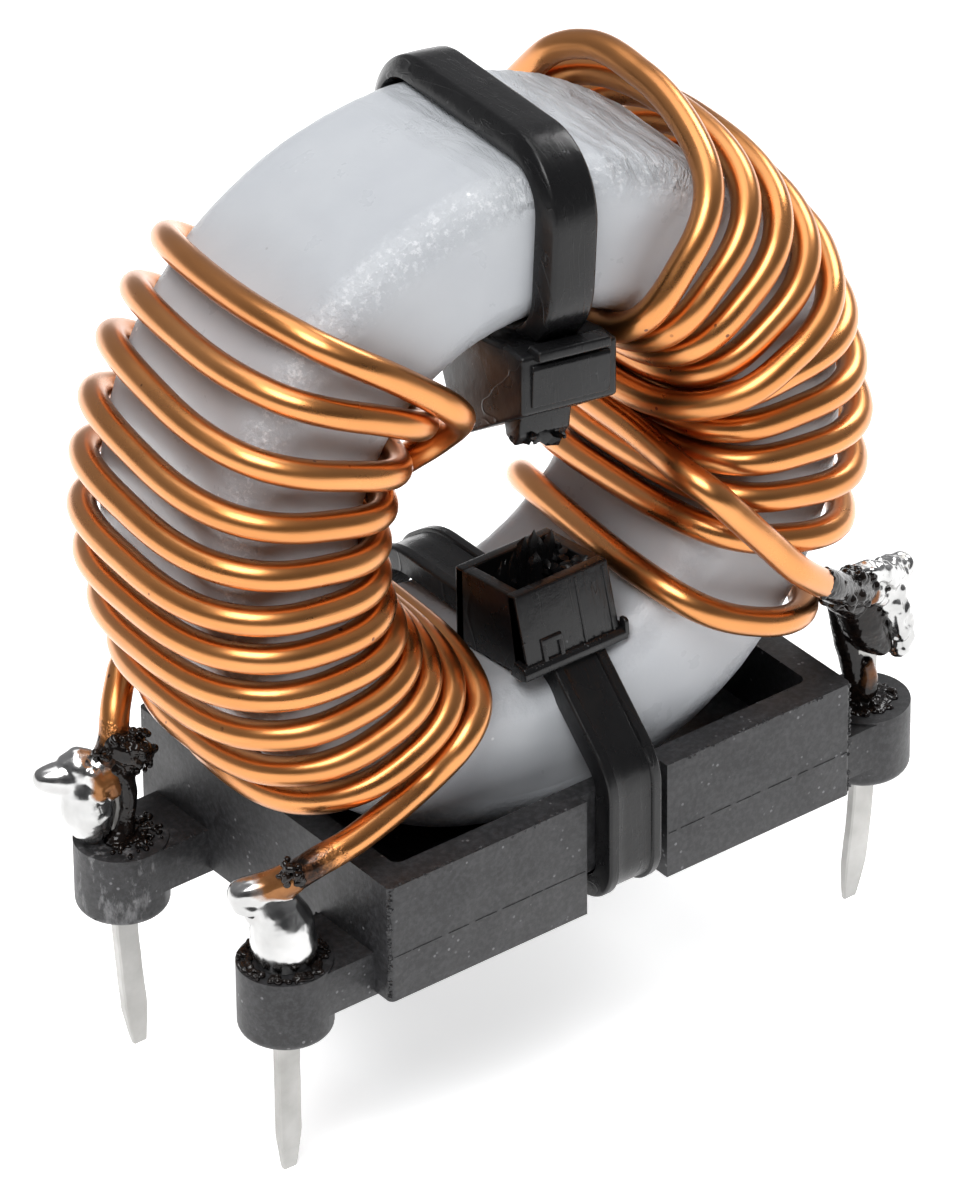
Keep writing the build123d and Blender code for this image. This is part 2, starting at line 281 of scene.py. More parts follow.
def plastic_material(name, dark, light, rough_lo, rough_hi, grain, speck_amount, scratch=0.0, scuffs=(), spec=0.5, mottle=0.0):
    m = Nodes(name)
    col = m.ramp(m.noise(350, 4), [(0.3, dark), (0.75, light)])
    if mottle:
        col = m.mix(m.math("MULTIPLY", m.ramp(m.noise(4200, 3, 0.7), [(0.42, 0.0), (0.66, 1.0)]), mottle), col, tuple(2.6 * c for c in light))
    speck = m.math("MULTIPLY", m.ramp(m.voronoi(2600), [(0.0, 1.0), (0.13, 1.0), (0.20, 0.0)]),
                   m.ramp(m.noise(700, 3), [(0.64 - speck_amount, 0.0), (0.72 - speck_amount, 1.0)]))
    col = m.mix(m.math("MULTIPLY", speck, 0.55), col, (0.26, 0.26, 0.27))
    rough = m.ramp(m.noise(500, 4), [(0.3, rough_lo), (0.7, rough_hi)])
    nrm = m.bump(m.noise(grain, 4, 0.6), 0.16, 0.00012)
    if scratch:
        s = m.ramp(m.noise(420, 2, 0.5, m.mapping((6.0, 0.5, 0.5)), 0.6), [(0.49, 0.0), (0.5, 1.0), (0.51, 0.0)])
        nrm = m.bump(s, scratch, 0.00008, nrm)
    for spot, reach, stretch in scuffs:
        d = m.nt.nodes.new("ShaderNodeVectorMath")
        d.operation = "DISTANCE"
        d.inputs[1].default_value = [c * MM for c in spot]
        m.link(m.coord.outputs["Object"], d.inputs[0])
        near = m.ramp(d.outputs["Value"], [(0.0, 1.0), (reach * MM, 0.0)])
        worn = m.math("MULTIPLY", near, m.ramp(m.noise(1500, 5, 0.7, m.mapping(stretch)), [(0.52, 0.0), (0.66, 1.0)]))
        col = m.mix(m.math("MULTIPLY", worn, 0.6), col, (0.46, 0.46, 0.47))
    return m.put(color=col, rough=rough, normal=nrm, spec=spec)


def tin_material():
    m = Nodes("tinned_pin")
    col = m.ramp(m.noise(420, 5), [(0.3, (0.36, 0.355, 0.34)), (0.7, (0.52, 0.515, 0.50))])
    rough = m.ramp(m.noise(800, 4), [(0.3, 0.30), (0.7, 0.48)])
    nrm = m.bump(m.noise(520, 4, 0.6, m.mapping((1.0, 1.0, 0.25))), 0.25, 0.00015)
    return m.put(color=col, metal=0.8, rough=rough, normal=nrm)


def solder_material():
    m = Nodes("solder")
    mask = m.math("ADD", m.attr("flux"), m.math("MULTIPLY", m.math("SUBTRACT", m.noise(1000, 5, 0.6), 0.5), 0.36))
    bright = m.ramp(m.noise(420, 4), [(0.3, (0.40, 0.40, 0.395)), (0.7, (0.62, 0.62, 0.615))])
    film = m.ramp(m.noise(600, 4), [(0.35, (0.16, 0.060, 0.020)), (0.7, (0.40, 0.18, 0.065))])
    soot = m.ramp(m.noise(2600, 5, 0.65), [(0.36, (0.003, 0.0025, 0.0025)), (0.66, (0.012, 0.007, 0.005)), (0.78, (0.06, 0.045, 0.035))])
    amber = m.ramp(mask, [(0.34, 0.0), (0.46, 1.0)])
    black = m.ramp(mask, [(0.66, 0.0), (0.82, 1.0)])
    col = m.mix(black, m.mix(amber, bright, film), soot)
    metal = m.math("SUBTRACT", 1.0, m.math("MULTIPLY", amber, 0.45), True)
    metal = m.math("SUBTRACT", metal, black, True)
    rough = m.mix(black, m.ramp(m.noise(1500, 5, 0.6), [(0.35, 0.14), (0.70, 0.28)]), m.ramp(m.noise(1900, 5, 0.6), [(0.35, 0.10), (0.70, 0.20)]))
    nrm = m.bump(m.noise(700, 3), 0.16, 0.0002)
    return m.put(color=col, metal=metal, rough=rough, normal=nrm, spec=0.32)


RING_MAT = ring_material()
COPPER = copper_material()
BASE_MAT = plastic_material("base_plastic", (0.010, 0.010, 0.0108), (0.019, 0.019, 0.0205), 0.38, 0.54, 3200, 0.10, 0.0,
                            [((-16.0, 4.1, 2.7), 0.9, (1.0, 1.0, 0.35))], 0.46, 0.60)
TIE_MAT = plastic_material("tie_nylon", (0.004, 0.004, 0.0045), (0.009, 0.009, 0.0095), 0.22, 0.34, 1400, 0.0, 0.20, (), 0.32)
TIN = tin_material()
SOLDER = solder_material()

# ------------------------------------------------------------------ ring
def build_ring():
    outline = []                       # (y, rho, edge weight, normal y, normal rho)
    cy, cr = HT - EDGE, (RO - RI) / 2 - EDGE
    arc, run_y, run_r = 10, 22, 12
    for q, (sy, sr) in enumerate(((-1, 1), (1, 1), (1, -1), (-1, -1))):
        start = (180, 90, 0, 270)[q]
        for i in range(arc + 1):
            a = math.radians(start - 90 * i / arc)
            w = math.sin(math.pi * i / arc) ** 0.7
            outline.append((sy * cy + EDGE * math.cos(a), MID + sr * cr + EDGE * math.sin(a), w, math.cos(a), math.sin(a)))
        nq = (q + 1) % 4
        sy2, sr2 = ((-1, 1), (1, 1), (1, -1), (-1, -1))[nq]
        a = math.radians(start - 90)
        p0 = outline[-1]
        b = math.radians((180, 90, 0, 270)[nq])
        p1 = (sy2 * cy + EDGE * math.cos(b), MID + sr2 * cr + EDGE * math.sin(b))
        n = run_y if sy != sy2 else run_r
        for i in range(1, n):
            f = i / n
            outline.append((p0[0] + (p1[0] - p0[0]) * f, p0[1] + (p1[1] - p0[1]) * f, 0.0, math.cos(a), math.sin(a)))
    n_out, n_around = len(outline), 300
    verts, faces, edge, crease = [], [], [], []
    for j in range(n_around):
        th = 360.0 * j / n_around
        for y, rho, w, ny, nr in outline:
            p = at(rho, th, y)
            a = math.radians(th)
            nv = turn((nr * math.cos(a), ny, nr * math.sin(a)))
            d = 0.045 * noise.noise(p * 0.28) + 0.020 * noise.noise(p * 0.9 + Vector((5, 1, 2)))
            d += w * 0.022 * noise.noise(p * 2.6)
            c = 0.0
            if 38 < th < 78 and rho > MID + 2.2:
                c = min(1.0, (th - 38) / 10.0) * min(1.0, (78 - th) / 8.0) * min(1.0, (rho - MID - 2.2) / 0.9)
                d += c * 0.05 * noise.noise(Vector((p.x * 2.2, p.y * 0.8, p.z * 1.4)))
            if 80 < th < 100 and rho > MID + 2.2:
                c = max(c, 0.30 * min(1.0, (100 - th) / 8.0))
            verts.append(p + nv * (d - 0.02))
            # edge weight: full on the front edges, lower at the back and round the bore, so the painted edge highlight
            # is brightest at the front
            front = 1.0 if y < 0 else 0.7
            edge.append(w * front if rho > MID else w * 0.5)
            crease.append(c)
    for j in range(n_around):
        k = (j + 1) % n_around
        for i in range(n_out):
            l = (i + 1) % n_out
            faces.append((j * n_out + i, j * n_out + l, k * n_out + l, k * n_out + i))
    ob = mesh_object("ring", verts, faces, RING_MAT, "toroid_core")
    set_attr(ob, "edge", edge)
    set_attr(ob, "crease", crease)
    return ob


# ------------------------------------------------------------------ windings
def hermite_knots(knots, x):
    """Smooth value at x through (x, value) knots in rising order of x."""
    n = len(knots)
    if x <= knots[0][0]:
        i = 0
    elif x >= knots[-1][0]:
        i = n - 2
    else:
        lo, hi = 0, n - 1
        while hi - lo > 1:
            mid = (lo + hi) // 2
            if knots[mid][0] <= x:
                lo = mid
            else:
                hi = mid
        i = lo

    def slope(j):
        a, b = max(0, j - 1), min(n - 1, j + 1)
        return (knots[b][1] - knots[a][1]) / (knots[b][0] - knots[a][0])

    x0, v0 = knots[i]
    x1, v1 = knots[i + 1]
    h = x1 - x0
    t = (x - x0) / h
    m0, m1 = slope(i) * h, slope(i + 1) * h
    return (v0 * (2 * t ** 3 - 3 * t ** 2 + 1) + m0 * (t ** 3 - 2 * t ** 2 + t)
            + v1 * (3 * t ** 2 - 2 * t ** 3) + m1 * (t ** 3 - t ** 2))


def spline(points, step=0.2):
    """Smooth line through points, by chord length."""
    pts = [Vector(p) for p in points]
    s = [0.0]
    for a, b in zip(pts, pts[1:]):
        s.append(s[-1] + (b - a).length ** 0.75)
    out = []
    for i in range(len(pts) - 1):
        n = max(2, int((pts[i + 1] - pts[i]).length / step))
        for j in range(n):
            x = s[i] + (s[i + 1] - s[i]) * j / n
            out.append(Vector([hermite_knots([(a, p[c]) for a, p in zip(s, pts)], x) for c in range(3)]))
    out.append(pts[-1])
    return out


def even(points, step):
    out, carry = [points[0]], 0.0
    last = points[0]
    for p in points[1:]:
        d = (p - last).length
        while carry + d >= step:
            last = last + (p - last) * ((step - carry) / d)
            out.append(last)
            d = (p - last).length
            carry = 0.0
        carry += d
        last = p
    if (out[-1] - points[-1]).length > step * 0.4:
        out.append(points[-1])
    return out


FRONT, BACK, OUTER, INNER = 6.85, 6.72, 4.42, 4.08
OUT_POWER, IN_POWER = 2.6, 3.2


def section_point(phi):
    """Wire centre on the section of the ring: along the axis, outward, and the outward direction."""
    a = math.radians(phi)
    c, s = math.cos(a), math.sin(a)
    half_a = FRONT if c < 0 else BACK
    half_b, power = (OUTER, OUT_POWER) if s > 0 else (INNER, IN_POWER)
    x = half_a * math.copysign(abs(c) ** (2 / power), c)
    y = half_b * math.copysign(abs(s) ** (2 / power), s)
    gx = math.copysign(abs(x / half_a) ** (power - 1), x) / half_a
    gy = math.copysign(abs(y / half_b) ** (power - 1), y) / half_b
    g = math.hypot(gx, gy)
    return x, y, gx / g, gy / g


RUN = [0.0]
for _i in range(720):
    _p, _q = section_point(_i * 0.5), section_point((_i + 1) * 0.5)
    RUN.append(RUN[-1] + math.hypot(_q[0] - _p[0], _q[1] - _p[1]))


def run(phi):
    """Wire length at corner count phi."""
    full = math.floor(phi / 360.0)
    f = (phi - full * 360.0) * 2.0
    i = min(719, int(f))
    return full * RUN[720] + RUN[i] + (RUN[i + 1] - RUN[i]) * (f - i)


def coil(knots, start, end, direction, lift):
    """Dense centre line of the turns; phi counts corners of the section, theta runs round the ring."""
    knots = [(direction * run(direction * k), th) for k, th in knots]
    out = []
    n = int(abs(end - start) / 0.8)
    for i in range(n + 1):
        phi = start + (end - start) * i / n
        x, y, gx, gy = section_point(phi)
        h = lift(phi)
        th = hermite_knots(knots, direction * run(phi))
        out.append(at(MID + y + h * gy, th, x + h * gx))
    return out


def smooth_line(points, centre, reach, rounds):
    lo, hi = max(1, centre - reach), min(len(points) - 1, centre + reach)
    for _ in range(rounds):
        points[lo:hi] = [points[i] * 0.5 + (points[i - 1] + points[i + 1]) * 0.25 for i in range(lo, hi)]


def tube(name, points, radius, node, sides=18):
    verts, faces, uvs, ends = [], [], [], []
    tangents = []
    for i in range(len(points)):
        a, b = points[max(0, i - 1)], points[min(len(points) - 1, i + 1)]
        tangents.append((b - a).normalized())
    up = Vector((0, 0, 1))
    nrm = (up - tangents[0] * up.dot(tangents[0])).normalized()
    length = 0.0
    rings = []
    for i, p in enumerate(points):
        if i:
            length += (p - points[i - 1]).length
            nrm = (nrm - tangents[i] * nrm.dot(tangents[i])).normalized()
        bi = tangents[i].cross(nrm)
        rings.append((p, nrm.copy(), bi, length))
    total = length
    for p, nv, bi, s in rings:
        r = radius * (1.0 + 0.012 * noise.noise(Vector((s * 0.22, 3.0, 7.0))))
        e = min(s, total - s)
        if e < 0.15:
            r *= 0.86 + 0.14 * math.sqrt(max(0.0, e / 0.15))
        near = max(0.0, 1.0 - e / 4.6)
        ends += [near] * sides
        if near > 0.0:
            r *= 1.0 + 0.07 * noise.noise(p * 2.4) * near
        for k in range(sides):
            a = 2 * math.pi * k / sides
            verts.append(p + (nv * math.cos(a) + bi * math.sin(a)) * r)
    m = len(rings)
    for i in range(m - 1):
        for k in range(sides):
            l = (k + 1) % sides
            faces.append((i * sides + k, i * sides + l, (i + 1) * sides + l, (i + 1) * sides + k))
            u0, u1, v0, v1 = rings[i][3], rings[i + 1][3], k / sides, (k + 1) / sides
            uvs += [(u0, v0), (u0, v1), (u1, v1), (u1, v0)]
    faces.append(tuple(reversed(range(sides))))
    uvs += [(0.0, 0.5)] * sides
    faces.append(tuple(range((m - 1) * sides, m * sides)))
    uvs += [(total, 0.5)] * sides
    ob = mesh_object(name, verts, faces, COPPER, node)
    set_attr(ob, "end", ends)
    layer = ob.data.uv_layers.new(name="along")
    layer.data.foreach_set("uv", [c for uv in uvs for c in uv])
    return ob


def wander(seed, size):
    def f(phi):
        w = 0.5 + 0.5 * math.sin(math.radians(phi))
        return max(0.0, size * w * (0.5 + 0.9 * noise.noise(Vector((phi / 150.0, seed, 0.0)))))
    return f


L_FRONT_IN = [124.0, 134.0, 148.5, 160.5, 171.7, 182.0, 192.1, 202.2, 212.3, 222.4, 232.5, 242.6]
L_FRONT_OUT = [133.8, 143.5, 154.0, 163.5, 172.0, 180.0, 187.0, 194.5, 203.0, 212.0, 220.5]
L_BACK_OUT = [134.5, 143.5, 152.0, 161.5, 170.5, 179.2, 187.2, 196.0, 205.0, 214.5, 224.0]
L_BACK_IN = [130.0, 144.0, 156.3, 167.6, 178.1, 188.2, 198.3, 208.4, 218.5, 228.6, 238.7]
R_FRONT_OUT = [57.5, 49.0, 41.0, 32.5, 25.5, 15.8, 6.8, -1.6, -10.5, -19.5, -35.5]
R_FRONT_IN = [61.0, 50.4, 39.8, 29.2, 23.9, 18.6, 8.0, -2.6, -13.2, -24.5, -46.0]
R_BACK_IN = [57.0, 46.4, 35.8, 25.2, 19.9, 14.6, 4.0, -6.6, -17.2, -29.0, -45.0]
R_BACK_OUT = [61.5, 54.5, 46.0, 37.5, 30.0, 20.5, 11.5, 3.0, -6.0, -15.0, -30.0]


# last bends of each wire at its pin, running to the cut end
FL_END = [(-13.5, -6.06, 7.58), (-14.27, -5.53, 6.94), (-14.95, -5.01, 6.50), (-15.75, -4.42, 6.26)]
BL_END = [(-14.05, 6.05, 8.7), (-14.62, 5.55, 7.55), (-15.15, 5.62, 6.62), (-15.74, 5.93, 6.28), (-16.48, 6.37, 6.21), (-17.05, 6.70, 6.24)]
BR_END = [(13.4, 6.05, 7.58), (14.3, 5.66, 6.98), (15.1, 5.40, 6.60), (16.1, 5.15, 6.42)]
FR_END = [(11.2, -7.6, 10.9), (13.7, -6.1, 9.2), (15.6, -5.2, 8.5), (17.0, -4.75, 8.3)]


def build_left():
    knots, phi = [(-225.0, L_FRONT_IN[0])], 135.0
    for k in range(11):
        for th in (L_FRONT_OUT[k], L_BACK_OUT[k], L_BACK_IN[k], L_FRONT_IN[k + 1]):
            knots.append((-phi, th))
            phi -= 90.0
    bow = wander(2.0, 0.14)
    turns = coil(knots, 172.0, phi + 90.0 - 8.0, -1, bow)
    head = list(reversed(BL_END)) + [(-13.1, 6.9, 9.5), (-12.1, 7.9, 9.75),
            at(13.2, 206.0, 8.35), at(9.8, 197.0, 8.45), at(6.4, 187.0, 7.75), at(5.85, 182.0, 4.0), at(5.7, 171.0, 0.3), at(5.7, 157.0, -2.6), at(5.75, 144.0, -4.0),
            at(5.85, 133.6, -4.8), at(6.55, 126.8, -5.8), at(7.8, 126.2, -6.7), at(9.3, 127.8, -6.85), turns[0], turns[14]]
    tail = [turns[-15], turns[-1], at(9.2, 238.5, -6.9), at(11.6, 234.0, -6.75), (-11.6, -6.35, 8.15)] + FL_END
    a, c = spline(head), spline(tail)
    ia = min(range(len(a)), key=lambda i: (a[i] - turns[0]).length)
    ic = min(range(len(c)), key=lambda i: (c[i] - turns[-1]).length)
    line = a[:ia] + turns + c[ic + 1:]
    j1, j2 = ia, ia + len(turns)
    line_a = even(line, 0.2)
    for target in (turns[0], turns[-1]):
        j = min(range(len(line_a)), key=lambda i: (line_a[i] - target).length)
        smooth_line(line_a, j, 12, 12)
    return tube("coil_left", line_a, WIRE_R, "winding_left")


def build_right():
    knots, phi = [], 45.0
    for k in range(11):
        for th in (R_BACK_OUT[k], R_FRONT_OUT[k], R_FRONT_IN[k], R_BACK_IN[k]):
            knots.append((phi, th))
            phi += 90.0
    bow = wander(9.0, 0.16)
    lo, hi = 45.0 + 360.0 * 4 + 90.0, 45.0 + 360.0 * 4 + 360.0

    def lift(p):
        h = bow(p)
        if lo - 10 < p < hi + 10:
            t = min((p - lo + 10) / 75.0, (hi + 10 - p) / 75.0, 1.0)
            h += 1.14 * t * t * (3 - 2 * t)
        if p < 150.0:
            h += 0.85 * math.exp(-((p - 76.0) / 30.0) ** 2)
        return h

    turns = coil(knots, 50.0, phi - 90.0 + 8.0, 1, lift)
    head = list(reversed(FR_END)) + [at(11.14, -27.0, -7.9), at(8.84, -20.5, -8.0),
            at(7.2, -12.4, -7.85), at(6.25, -5.0, -7.5), at(5.78, -0.6, -6.3), at(5.80, 0.6, -4.6), at(5.82, 1.8, -2.6), at(5.82, 1.8, 0.0), at(5.8, 4.0, 4.5),
            at(6.2, 12.0, 8.0), at(8.6, 34.0, 8.7), at(11.6, 54.0, 8.1), turns[0], turns[14]]
    tail = [turns[-15], turns[-1], at(9.6, -46.0, 7.0), at(12.3, -44.0, 6.9), (11.6, 6.5, 8.15)] + BR_END
    a, c = spline(head), spline(tail)
    ia = min(range(len(a)), key=lambda i: (a[i] - turns[0]).length)
    ic = min(range(len(c)), key=lambda i: (c[i] - turns[-1]).length)
    line = even(a[:ia] + turns + c[ic + 1:], 0.2)
    for target in (turns[0], turns[-1]):
        j = min(range(len(line)), key=lambda i: (line[i] - target).length)
        smooth_line(line, j, 12, 12)
    return tube("coil_right", line, WIRE_R, "winding_right")


build_ring()
build_left()
build_right()


# ------------------------------------------------------------------ base: softened edges, moulding line, burrs
def softened(node, name, material, width, segments=2, limit=28.0, extra=None):
    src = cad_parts[node]
    bm = bmesh.new()
    bm.from_mesh(src.data)
    bmesh.ops.remove_doubles(bm, verts=bm.verts, dist=2e-6)
    bmesh.ops.dissolve_limit(bm, angle_limit=math.radians(1.0), use_dissolve_boundaries=False, verts=bm.verts, edges=bm.edges, delimit=set())
    sharp = [e for e in bm.edges if len(e.link_faces) == 2 and e.calc_face_angle(0.0) > math.radians(limit)]
    bmesh.ops.bevel(bm, geom=sharp, offset=width * MM, offset_type="OFFSET", segments=segments, profile=0.6, affect="EDGES",
                    clamp_overlap=True)
    bmesh.ops.triangulate(bm, faces=[f for f in bm.faces if len(f.verts) > 4])
    if extra:
        extra(bm)
    me = bpy.data.meshes.new(name)
    bm.to_mesh(me)
    bm.free()
    ob = bpy.data.objects.new(name, me)
    bpy.context.scene.collection.objects.link(ob)
    finish_piece(ob, material, node)
    me.set_sharp_from_angle(angle=math.radians(38))
    return ob


def crumb_mesh(spots, rng):
    """Small irregular grains at (place, size), as vertices and faces in millimetres."""
    verts, faces = [], []
    v0, f0 = GRAIN
    for centre, size in spots:
        stretch = Vector((rng.uniform(0.7, 1.4), rng.uniform(0.7, 1.4), rng.uniform(0.6, 1.1)))
        spin = Matrix.Rotation(rng.uniform(0, 6.28), 3, Vector((rng.uniform(-1, 1), rng.uniform(-1, 1), 1)).normalized())
        shift = Vector((rng.uniform(0, 50), 0, 0))
        n = len(verts)
        for c in v0:
            d = size * (1.0 + 0.45 * noise.noise(Vector(c) * 1.7 + shift))
            verts.append(Vector(centre) + spin @ Vector((c[0] * stretch.x * d, c[1] * stretch.y * d, c[2] * stretch.z * d)))
        faces += [tuple(int(i) + n for i in f) for f in f0]
    return verts, faces


def bar(bm, lo, hi):
    """Closed box between two corners."""
    grown = bmesh.ops.create_cube(bm, size=1.0)
    for v in grown["verts"]:
        v.co = Vector([(lo[i] + hi[i]) / 2 + (hi[i] - lo[i]) * v.co[i] for i in range(3)]) * MM


def base_detail(bm):
    rng = random.Random(41)
    # moulding line along the walls
    zl = 3.35
    for x0, x1 in ((-11.3, -1.95), (2.25, 11.3)):
        for y0, y1 in ((-8.175, -8.1), (8.1, 8.175)):
            x = x0
            while x < x1:
                end = min(x1, x + rng.uniform(0.35, 1.5))
                h = rng.uniform(0.014, 0.030)
                bar(bm, (x, y0, zl - h), (end, y1, zl + h))
                x = end + rng.uniform(0.05, 0.45)
    # torn crumbs along the wall tops and corners
    spots = []

    def along(a, b, count, size):
        for _ in range(count):
            f = rng.random()
            p = Vector(a).lerp(Vector(b), f) + Vector((rng.uniform(-0.05, 0.05), rng.uniform(-0.05, 0.05), rng.uniform(-0.06, 0.03)))
            spots.append((p, size * rng.uniform(0.5, 1.3)))

    along((-11.4, -8.08, 6.56), (-2.2, -8.08, 6.56), 110, 0.072)
    along((2.4, -8.08, 6.56), (11.4, -8.08, 6.56), 130, 0.075)
    along((2.4, -6.95, 6.56), (10.2, -6.95, 6.56), 60, 0.062)
    along((10.28, -6.7, 6.56), (10.28, 6.7, 6.56), 20, 0.055)
    along((11.44, -8.05, 1.5), (11.44, -8.05, 6.5), 60, 0.078)
    along((-11.44, -8.05, 1.5), (-11.44, -8.05, 6.5), 70, 0.078)
    along((-11.44, -7.9, 6.56), (-11.44, 7.9, 6.56), 24, 0.060)
    along((-11.4, 8.08, 6.56), (11.4, 8.08, 6.56), 34, 0.055)
    along((-15.9, -6.3, 1.0), (-14.0, -7.15, 0.25), 8, 0.07)
    along((-16.25, 4.9, 0.35), (-15.3, 3.75, 0.30), 16, 0.12)
    along((-14.2, 3.6, 3.12), (-11.6, 3.6, 3.12), 12, 0.055)
    along((-14.2, -3.6, 3.12), (-11.6, -3.6, 3.12), 12, 0.055)
    verts, faces = crumb_mesh(spots, rng)
    made = [bm.verts.new(v * MM) for v in verts]
    for f in faces:
        bm.faces.new([made[i] for i in f])


softened("mounting_base", "base", BASE_MAT, 0.12, 3, extra=base_detail)


# ------------------------------------------------------------------ cable ties
def band(stations, across, width, shape):
    """Closed strap: stations are (inner, outer) points, across is the width direction, shape gives (side, height) 0..1."""
    verts, faces = [], []
    n, m = len(stations), len(shape)
    for inner, outer in stations:
        for u, v in shape:
            verts.append(inner + (outer - inner) * v + across * (u * width / 2))
    for i in range(n):
        k = (i + 1) % n
        for j in range(m):
            l = (j + 1) % m
            faces.append((i * m + j, k * m + j, k * m + l, i * m + l))
    return verts, faces


def rounded_shape(width, thick, top_r, low_r, rail=0.0, groove=0.0):
    """Section of a strap: flat inside, rounded outside corners, optional rails."""
    hw, pts = width / 2, []
    for i in range(4):
        a = math.pi / 2 * i / 3
        pts.append((-hw + low_r - low_r * math.sin(a), low_r - low_r * math.cos(a)))
    for i in range(7):
        a = math.pi / 2 * i / 6
        pts.append((-hw + top_r - top_r * math.cos(a), thick - top_r + top_r * math.sin(a)))
    if rail:
        step = 0.07
        pts += [(-hw + rail, thick), (-hw + rail + step * 0.5, thick - groove * 0.25), (-hw + rail + step, thick - groove * 0.85),
                (-hw + rail + step * 1.8, thick - groove)]
        for f in (0.25, 0.5, 0.75):
            lo = -hw + rail + step * 1.8
            pts.append((lo + (-2 * lo) * f, thick - groove))
        pts += [(-x, y) for x, y in reversed(pts[11:15])]
    else:
        for f in (0.2, 0.4, 0.6, 0.8):
            pts.append((-hw + top_r + (2 * hw - 2 * top_r) * f, thick + 0.012 * math.sin(math.pi * f)))
    pts += [(-x, y) for x, y in reversed(pts[:11])]
    return [(2 * x / width, y / thick) for x, y in pts]


def frame_of(theta):
    a = math.radians(theta)
    return turn((0, 1, 0)), turn((math.cos(a), 0, math.sin(a))), turn((-math.sin(a), 0, math.cos(a)))


def prism(polygon, to_world, half_w, bevel, taper=None):
    """Bevelled block from a polygon, as vertices and faces in millimetres."""
    bm = bmesh.new()
    near = [bm.verts.new(to_world(a, b, -half_w if taper is None else -taper(a, b))) for a, b in polygon]
    far = [bm.verts.new(to_world(a, b, half_w if taper is None else taper(a, b))) for a, b in polygon]
    bm.faces.new(near)
    bm.faces.new(list(reversed(far)))
    n = len(polygon)
    for i in range(n):
        bm.faces.new((near[(i + 1) % n], near[i], far[i], far[(i + 1) % n]))
    bmesh.ops.recalc_face_normals(bm, faces=bm.faces)
    bmesh.ops.bevel(bm, geom=[e for e in bm.edges if e.calc_face_angle(0.0) > 0.3], offset=bevel, offset_type="OFFSET", segments=3,
                    profile=0.55, affect="EDGES", clamp_overlap=True)
    bmesh.ops.triangulate(bm, faces=[f for f in bm.faces if len(f.verts) > 4])
    bm.verts.index_update()
    out = [v.co.copy() for v in bm.verts], [tuple(v.index for v in f.verts) for f in bm.faces]
    bm.free()
    return out


def gather(pieces):
    verts, faces = [], []
    for v, f in pieces:
        n = len(verts)
        verts += [Vector(p) for p in v]
        faces += [tuple(i + n for i in q) for q in f]
    return verts, faces


def bevelled_shape(width, thick, inset, low):
    """Section of a strap: flat inside, slanted flanks, flat outside."""
    hw = width / 2
    pts = [(-hw + 0.06, 0.0), (-hw, 0.06), (-hw, low), (-hw + inset * 0.35, low + (thick - low) * 0.40), (-hw + inset * 0.72, low + (thick - low) * 0.78),
           (-hw + inset * 0.93, thick - 0.045), (-hw + inset + 0.03, thick - 0.012), (-hw + inset + 0.10, thick)]
    top = [((-hw + inset + 0.10) * (1 - 2 * f), thick + 0.02 * math.sin(math.pi * f)) for f in (0.2, 0.4, 0.6, 0.8)]
    pts = pts + top + [(-x, y) for x, y in reversed(pts)]
    return [(2 * x / width, y / thick) for x, y in pts]


STRAP_W, STRAP_T = 2.6, 1.0


